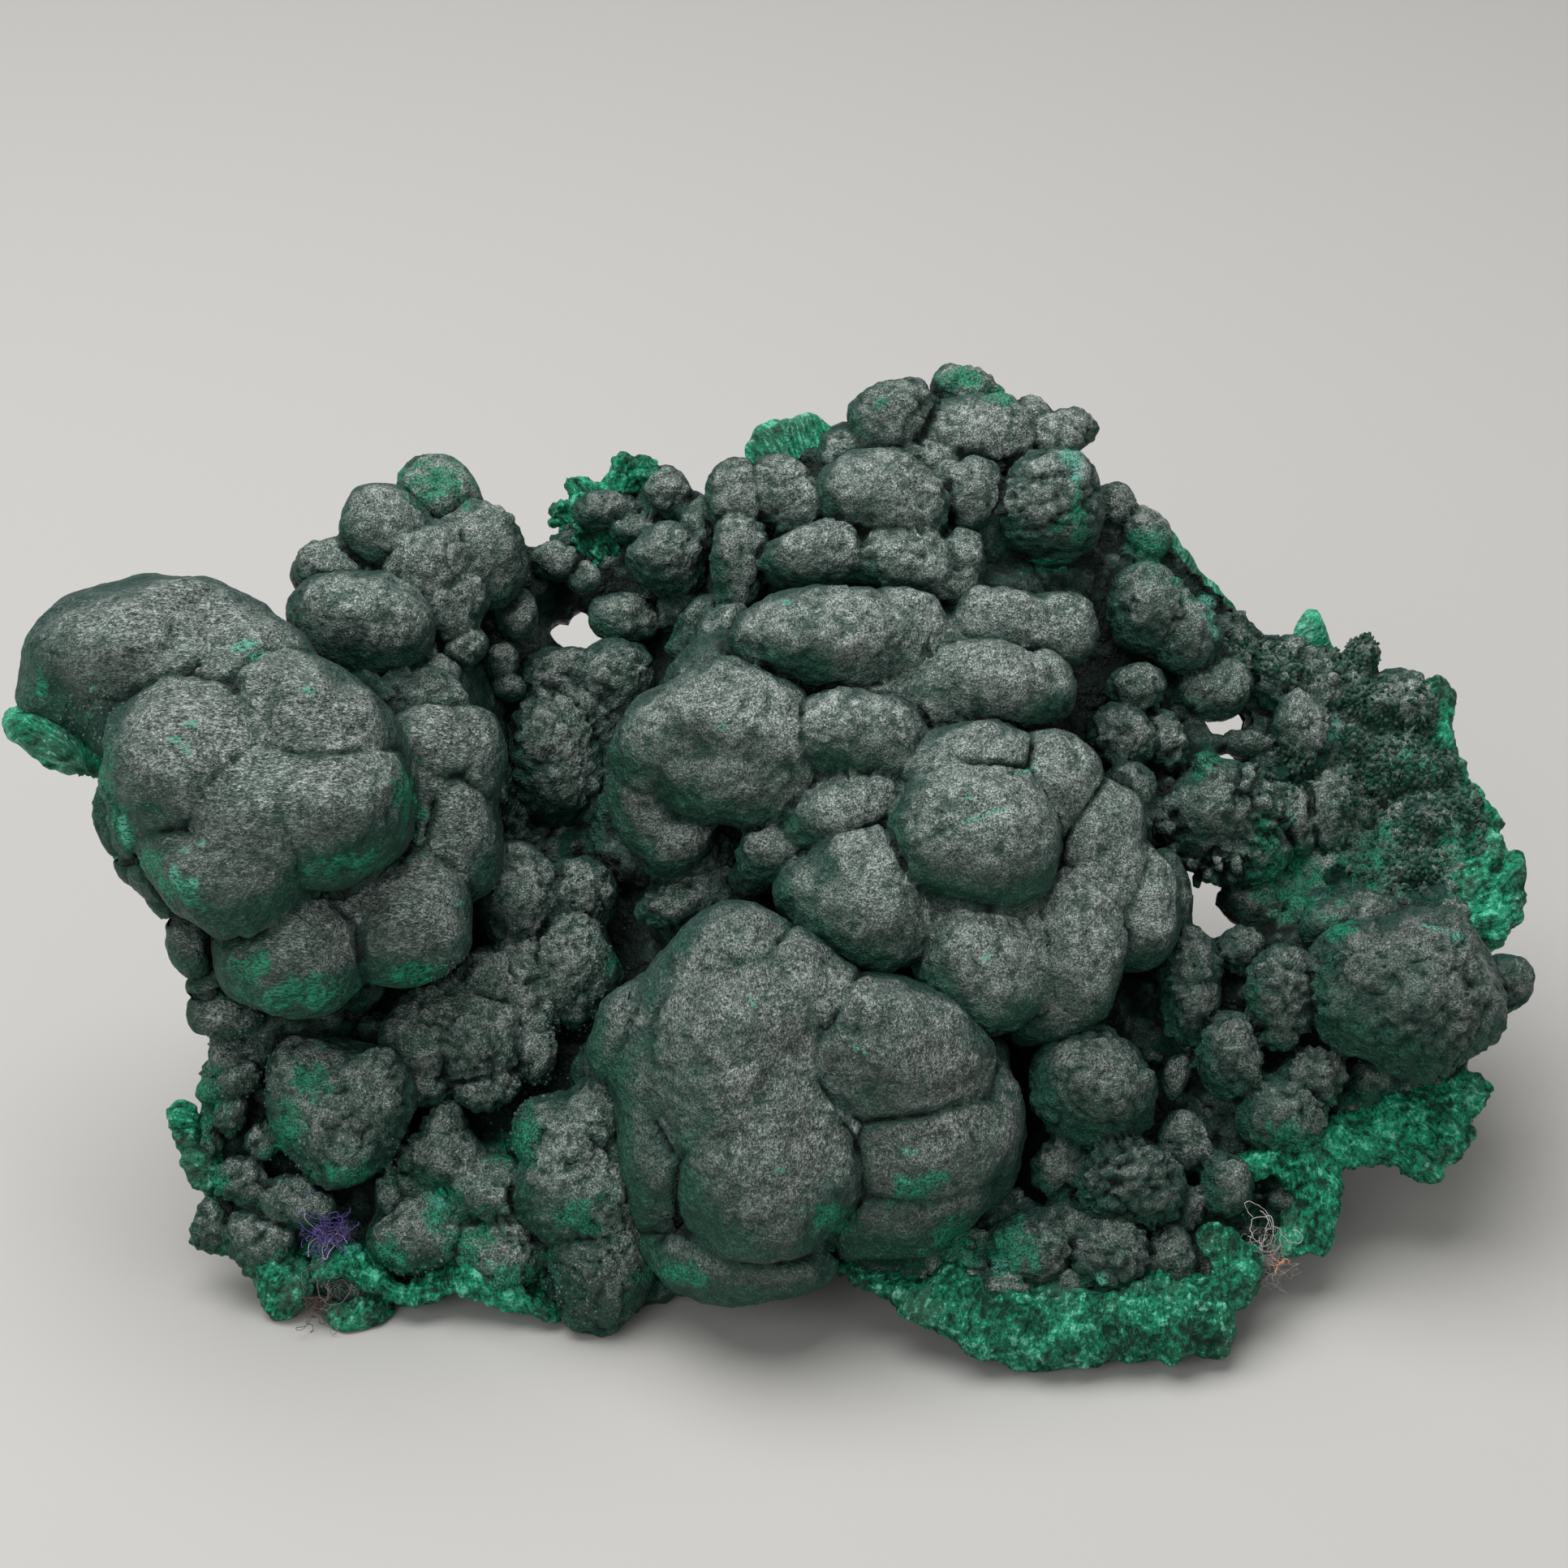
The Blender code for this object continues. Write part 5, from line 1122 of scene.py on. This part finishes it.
def strew(name, points, ways, sizes, seed, material):
    """Copies of a crumb at the points, each pointing along its way, in sizes (width, thickness, length)."""
    bpy.ops.object.select_all(action="DESELECT")
    bpy.ops.mesh.primitive_ico_sphere_add(subdivisions=1, radius=1.0)
    model = bpy.context.object
    corners = np.array([vert.co for vert in model.data.vertices])
    faces = np.array([face.vertices for face in model.data.polygons])
    bpy.data.objects.remove(model)
    chance = np.random.default_rng(seed)
    count = len(points)
    ways = unit(ways)
    aside = unit(np.cross(ways, chance.normal(size=(count, 3))))
    other = np.cross(ways, aside)
    scale = sizes * chance.uniform(0.6, 1.4, (count, 3)) * chance.uniform(0.7, 1.2, (count, 1))
    shape = corners[None] * scale[:, None] * chance.uniform(0.75, 1.25, (count, len(corners), 1))
    placed = points[:, None] + shape[..., :1] * aside[:, None]
    placed = placed + shape[..., 1:2] * other[:, None] + shape[..., 2:] * ways[:, None]
    index = (faces[None] + np.arange(count)[:, None, None] * len(corners)).reshape(-1, faces.shape[1])
    mesh = bpy.data.meshes.new(name)
    mesh.vertices.add(count * len(corners))
    mesh.loops.add(index.size)
    mesh.polygons.add(len(index))
    mesh.loops.foreach_set("vertex_index", index.ravel().astype(np.int32))
    mesh.polygons.foreach_set("loop_start", np.arange(0, index.size, faces.shape[1], dtype=np.int32))
    piece = bpy.data.objects.new(name, mesh)
    bpy.context.scene.collection.objects.link(piece)
    move_skin(piece, placed.reshape(-1, 3))
    mesh.update(calc_edges=True)
    tone = np.repeat(chance.uniform(-0.5, 0.5, count), len(corners))
    mark(piece, tone=tone, crest=tone + 0.3, deep=np.zeros(len(tone)))
    ready(piece, material)


def crumbly(name, low, high, shine, specular):
    """Small grains of one mineral, each in its own tone from low to high."""
    material, shader, shade = new_material(name, specular)
    at = shade.node("ShaderNodeTexCoord", out="Object")
    shader.inputs["Sheen Weight"].default_value = 0.05
    shader.inputs["Sheen Tint"].default_value = (0.5, 0.7, 0.62, 1.0)
    tone = shade.mask("tone") + shade.noise(at, 0.5, 2.0, 0.6) + shade.noise(at, 5.0, 1.0) * 0.8
    colour = shade.blend(tone.between(0.5, 1.5), low, high)
    bump = shade.bump(shade.noise(at, 0.35, 2.0), 0.0003, 0.8)
    lay(shade, shader, Base_Color=colour, Normal=bump, Roughness=shade.noise(at, 0.6) * 0.5 + shine)
    return material


moss = crumbly("mossy crumbs", (0.002, 0.040, 0.022), (0.065, 0.105, 0.085), 0.5, 0.2)
points, normals = spots_on([crust, right_wing], WING_MOSS, 3000, 3200, -0.4)
ways = normals + 0.5 * np.random.default_rng(3202).normal(size=points.shape)
strew("wing_moss", points, ways, np.array((0.36, 0.3, 0.7)), 3201, moss)

# Hollows where grains lie: across, up, half sizes, roll.
GRAIN_HOLLOWS = [
    (-86, 81, 4.6, 3.6, -10), (-66.5, 36, 5, 5, 0), (-60, 26, 4, 3, 0), (-48, 27, 4, 2.4, 0),
    (-33, 30, 4.6, 4, 0), (-27, 10, 7, 4, -20), (-20, 14, 5, 4, 0), (-28, 56, 8, 6, 0), (-25, 44, 7, 5, 0),
    (-34, 36, 6, 4, 0), (17, 22, 4, 2.4, 0), (22, 20, 5, 3, -20), (66, 34, 7, 5, 0), (57, 20, 4, 5, 0),
    (30, 10.6, 8, 1.6, 0), (46, 12, 5, 3, 0), (-40, 49, 4, 3, 0), (0, 14.6, 6, 1.6, 0), (-67, 42, 4, 3, 0),
    (-46, 13, 4, 3, 0),
]
grain_shine = crumbly("shiny grains", (0.003, 0.026, 0.017), (0.08, 0.14, 0.12), 0.1, 0.6)
points, normals = spots_on([crust, left_arm, left_valley, lower_left], GRAIN_HOLLOWS, 1400, 3300, -0.2)
strew("hollow_grains", points, normals, np.array((0.24, 0.24, 0.26)), 3301, grain_shine)


# Painted shade in hollows
# The skin is painted darkest where it lies well behind the lobes beside it, between them and at their feet,
# where shade falls. A map of the face holds the foremost skin in each square millimetre. A hedge is how high
# that skin stands round each square, toward one of eight directions.

FAR_BEHIND = -90.0
MAP_WIDTH, MAP_HEIGHT = 210, 140
MAP_LEFT, MAP_BOTTOM = -105.0, -8.0
HEDGE_REACH = 6
HEDGE_FALL = 0.9

velvety = (
    left_arm, upper_left, left_valley, lower_left, front_dome, ridge, crest, upper_middle, right_wing,
    lower_right, crust, rear_foot,
)
front = np.full((MAP_WIDTH, MAP_HEIGHT), FAR_BEHIND)
skins = []
for piece in velvety:
    points, normals = skin_of(piece)
    across, up, toward = face_of(points)
    column = np.clip((across - MAP_LEFT).astype(int), 0, MAP_WIDTH - 1)
    row = np.clip((up - MAP_BOTTOM).astype(int), 0, MAP_HEIGHT - 1)
    np.maximum.at(front, (column, row), toward)
    skins.append((piece, normals @ np.array(TOWARD), (column, row), toward))
hedges = []
for turn in range(8):
    hedge = np.full(front.shape, FAR_BEHIND)
    for step in range(1, HEDGE_REACH + 1):
        over, above = round(step * math.cos(turn * math.pi / 4)), round(step * math.sin(turn * math.pi / 4))
        hedge = np.maximum(hedge, np.roll(front, (over, above), (0, 1)) - HEDGE_FALL * step)
    hedges.append(hedge)
for piece, turn, spot, toward in skins:
    shut_in = np.mean([ramp(hedge[spot] - toward, 0.0, 5.0) for hedge in hedges], axis=0)
    ragged = 0.12 * drift(skin_of(piece)[0], 1.6, 4000)
    paint_hollow_shade(piece, 0.95 * ramp(shut_in + ragged, 0.26, 0.85) * ramp(turn, -0.3, 0.1))


# Lint and dust
# Lint caught in the two lower corners and short dust fibres on the arm: thin wandering threads, drawn as
# curves and made solid. The left clump is violet and white, the right one white and grey with an orange end.

THREAD_STEP = 0.32


def front_at(across, up, pieces):
    """How far toward the viewer the skin lies at a place on the face."""
    nearest = FAR_BEHIND
    for piece in pieces:
        over, above, toward = face_of(skin_of(piece)[0])
        close = np.hypot(over - across, above - up) < 1.5
        nearest = max(nearest, toward[close].max(initial=FAR_BEHIND))
    return nearest


def lint(seed, name, middle, spread, count, steps, thick, colour, curl=0.5):
    """A clump of threads wandering round a place, which is given, as its spread is, across, up and toward."""
    chance = np.random.default_rng(seed)
    home = np.array(place(*middle))
    curve = bpy.data.curves.new(name, "CURVE")
    curve.dimensions = "3D"
    curve.bevel_depth = thick * MM
    curve.bevel_resolution = 0
    curve.use_fill_caps = True
    reach = spread[0] * np.array(RIGHT), spread[1] * np.array(UP), spread[2] * np.array(TOWARD)
    for _ in range(count):
        at = home + sum(chance.normal() * 0.5 * way for way in reach)
        way = chance.normal(size=3)
        spline = curve.splines.new("POLY")
        spline.points.add(steps - 1)
        for point in spline.points:
            point.co = (*(at * MM), 1.0)
            pull = sum(-(at - home) @ np.array(part) / (part @ part) * part for part in reach)
            way = way + curl * chance.normal(size=3) + 0.2 * pull / max(spread)
            way /= np.linalg.norm(way)
            at = at + THREAD_STEP * way
    piece = bpy.data.objects.new(name, curve)
    bpy.context.scene.collection.objects.link(piece)
    pick(piece)
    bpy.ops.object.convert(target="MESH")
    piece = bpy.context.object
    move_skin(piece, skin_of(piece)[0])
    material, shader, _ = new_material(name, 0.3)
    shader.inputs["Base Color"].default_value = (*colour, 1.0)
    ready(piece, material)


left = front_at(-56.4, 17.0, (crust, lower_left, lower_left_edges))
low = front_at(-57.6, 8.0, (crust, lower_left, lower_left_edges))
right = front_at(60.0, 15.6, (crust, lower_right, bottom_band, right_edges))

# Name, place, spread, number of threads, steps in each, half thickness, colour and, where it isn't 0.5, curl.
LINT = [
    ("lint_violet", (-56.6, 17.0, left + 0.6), (3.6, 1.8, 1.0), 46, 26, 0.05, (0.10, 0.075, 0.26)),
    ("lint_white", (-56.0, 16.6, left + 1.1), (3.4, 2.0, 0.8), 6, 20, 0.045, (0.50, 0.48, 0.50), 0.3),
    ("lint_trail", (-56.6, 11.2, left + 0.8), (1.0, 4.0, 0.8), 12, 24, 0.05, (0.16, 0.13, 0.14), 0.3),
    ("lint_brown", (-57.6, 8.0, low + 0.3), (2.0, 1.1, 0.8), 18, 20, 0.05, (0.09, 0.06, 0.05)),
    ("lint_loops", (59.4, 16.6, right), (2.0, 2.6, 0.8), 9, 26, 0.045, (0.52, 0.49, 0.46), 0.28),
    ("lint_haze", (60.0, 13.0, right - 0.4), (1.8, 4.0, 0.9), 60, 20, 0.035, (0.24, 0.22, 0.21)),
    ("lint_orange", (61.6, 13.7, right + 0.9), (0.8, 0.4, 0.3), 5, 8, 0.07, (0.72, 0.30, 0.16), 0.3),
]
DUST = [(-74.4, 85.3, 5), (-60.2, 85.0, 8), (-59.4, 84.8, 5), (-45.0, 57.2, 5)]

for seed, row in enumerate(LINT, 1):
    lint(seed, *row)
for k, (across, up, steps) in enumerate(DUST):
    depth = front_at(across, up, (left_arm,)) + 0.1
    lint(20 + k, f"dust_{k}", (across, up, depth), (0.3, 0.3, 0.05), 1, steps, 0.05, (0.50, 0.52, 0.50), 0.35)


# Floor, light and camera
# A plain pale sweep, one big soft light overhead with two weak ones, and the photograph's angle. Only the
# specimen is kept: the floor is a stage.

FLOOR_WIDTH = 5.0
FLOOR_RUN = 3.2
FLOOR_FRONT = -1.2
FLAT_RUN = 1.75
BEND_RADIUS = 0.445
RUN_PER_RADIAN = 0.7
FLOOR_BELOW = 0.0001

bpy.ops.object.select_all(action="DESELECT")
bpy.ops.mesh.primitive_grid_add(x_subdivisions=2, y_subdivisions=40, size=1.0)
floor = bpy.context.object
floor.name = "floor"
for vert in floor.data.vertices:
    run = (vert.co.y + 0.5) * FLOOR_RUN
    turn = min(max(run - FLAT_RUN, 0.0) / RUN_PER_RADIAN, math.pi / 2)
    back = min(run, FLAT_RUN) + BEND_RADIUS * math.sin(turn)
    wall = max(run - FLAT_RUN - RUN_PER_RADIAN * math.pi / 2, 0.0)
    rise = BEND_RADIUS * (1.0 - math.cos(turn)) + wall
    vert.co = (vert.co.x * FLOOR_WIDTH, back + FLOOR_FRONT, rise - FLOOR_BELOW)
bpy.ops.object.shade_smooth()
paper, paper_shader, _ = new_material("pale paper", 0.2)
paper_shader.inputs["Base Color"].default_value = (0.405, 0.398, 0.383, 1.0)
paper_shader.inputs["Roughness"].default_value = 0.8
floor.data.materials.append(paper)

world = bpy.data.worlds.new("studio")
world.use_nodes = True
sky = world.node_tree.nodes["Background"]
sky.inputs["Color"].default_value = (1.0, 0.995, 0.985, 1.0)
sky.inputs["Strength"].default_value = 0.20
bpy.context.scene.world = world


def soft_light(name, spot, aim, size, power):
    light = bpy.data.objects.new(name, bpy.data.lights.new(name, "AREA"))
    light.data.shape = "DISK"
    light.data.size = size
    light.data.energy = power
    light.location = spot
    light.rotation_euler = (Vector(aim) - Vector(spot)).to_track_quat("-Z", "Y").to_euler()
    bpy.context.scene.collection.objects.link(light)


soft_light("overhead", (-0.24, 0.12, 0.96), (0.0, 0.0, 0.05), 1.1, 15.5)
soft_light("front_left", (-0.45, -0.85, 0.55), (0.0, 0.0, 0.04), 0.7, 3.6)
soft_light("fill_right", (0.85, -0.55, 0.5), (0.06, -0.05, 0.0), 0.8, 2.2)

HALF_VIEW = 96.6
camera = bpy.data.objects.new("camera", bpy.data.cameras.new("camera"))
camera.data.clip_start = 0.01
camera.data.angle = 2.0 * math.atan(HALF_VIEW / VIEW_DISTANCE)
camera.location = (place(0.0, VIEW_MIDDLE_UP, 0.0) + TOWARD * VIEW_DISTANCE) * MM
camera.rotation_euler = (-TOWARD).to_track_quat("-Z", "Y").to_euler()
bpy.context.scene.collection.objects.link(camera)
bpy.context.scene.camera = camera
bpy.context.scene.view_settings.view_transform = "Standard"
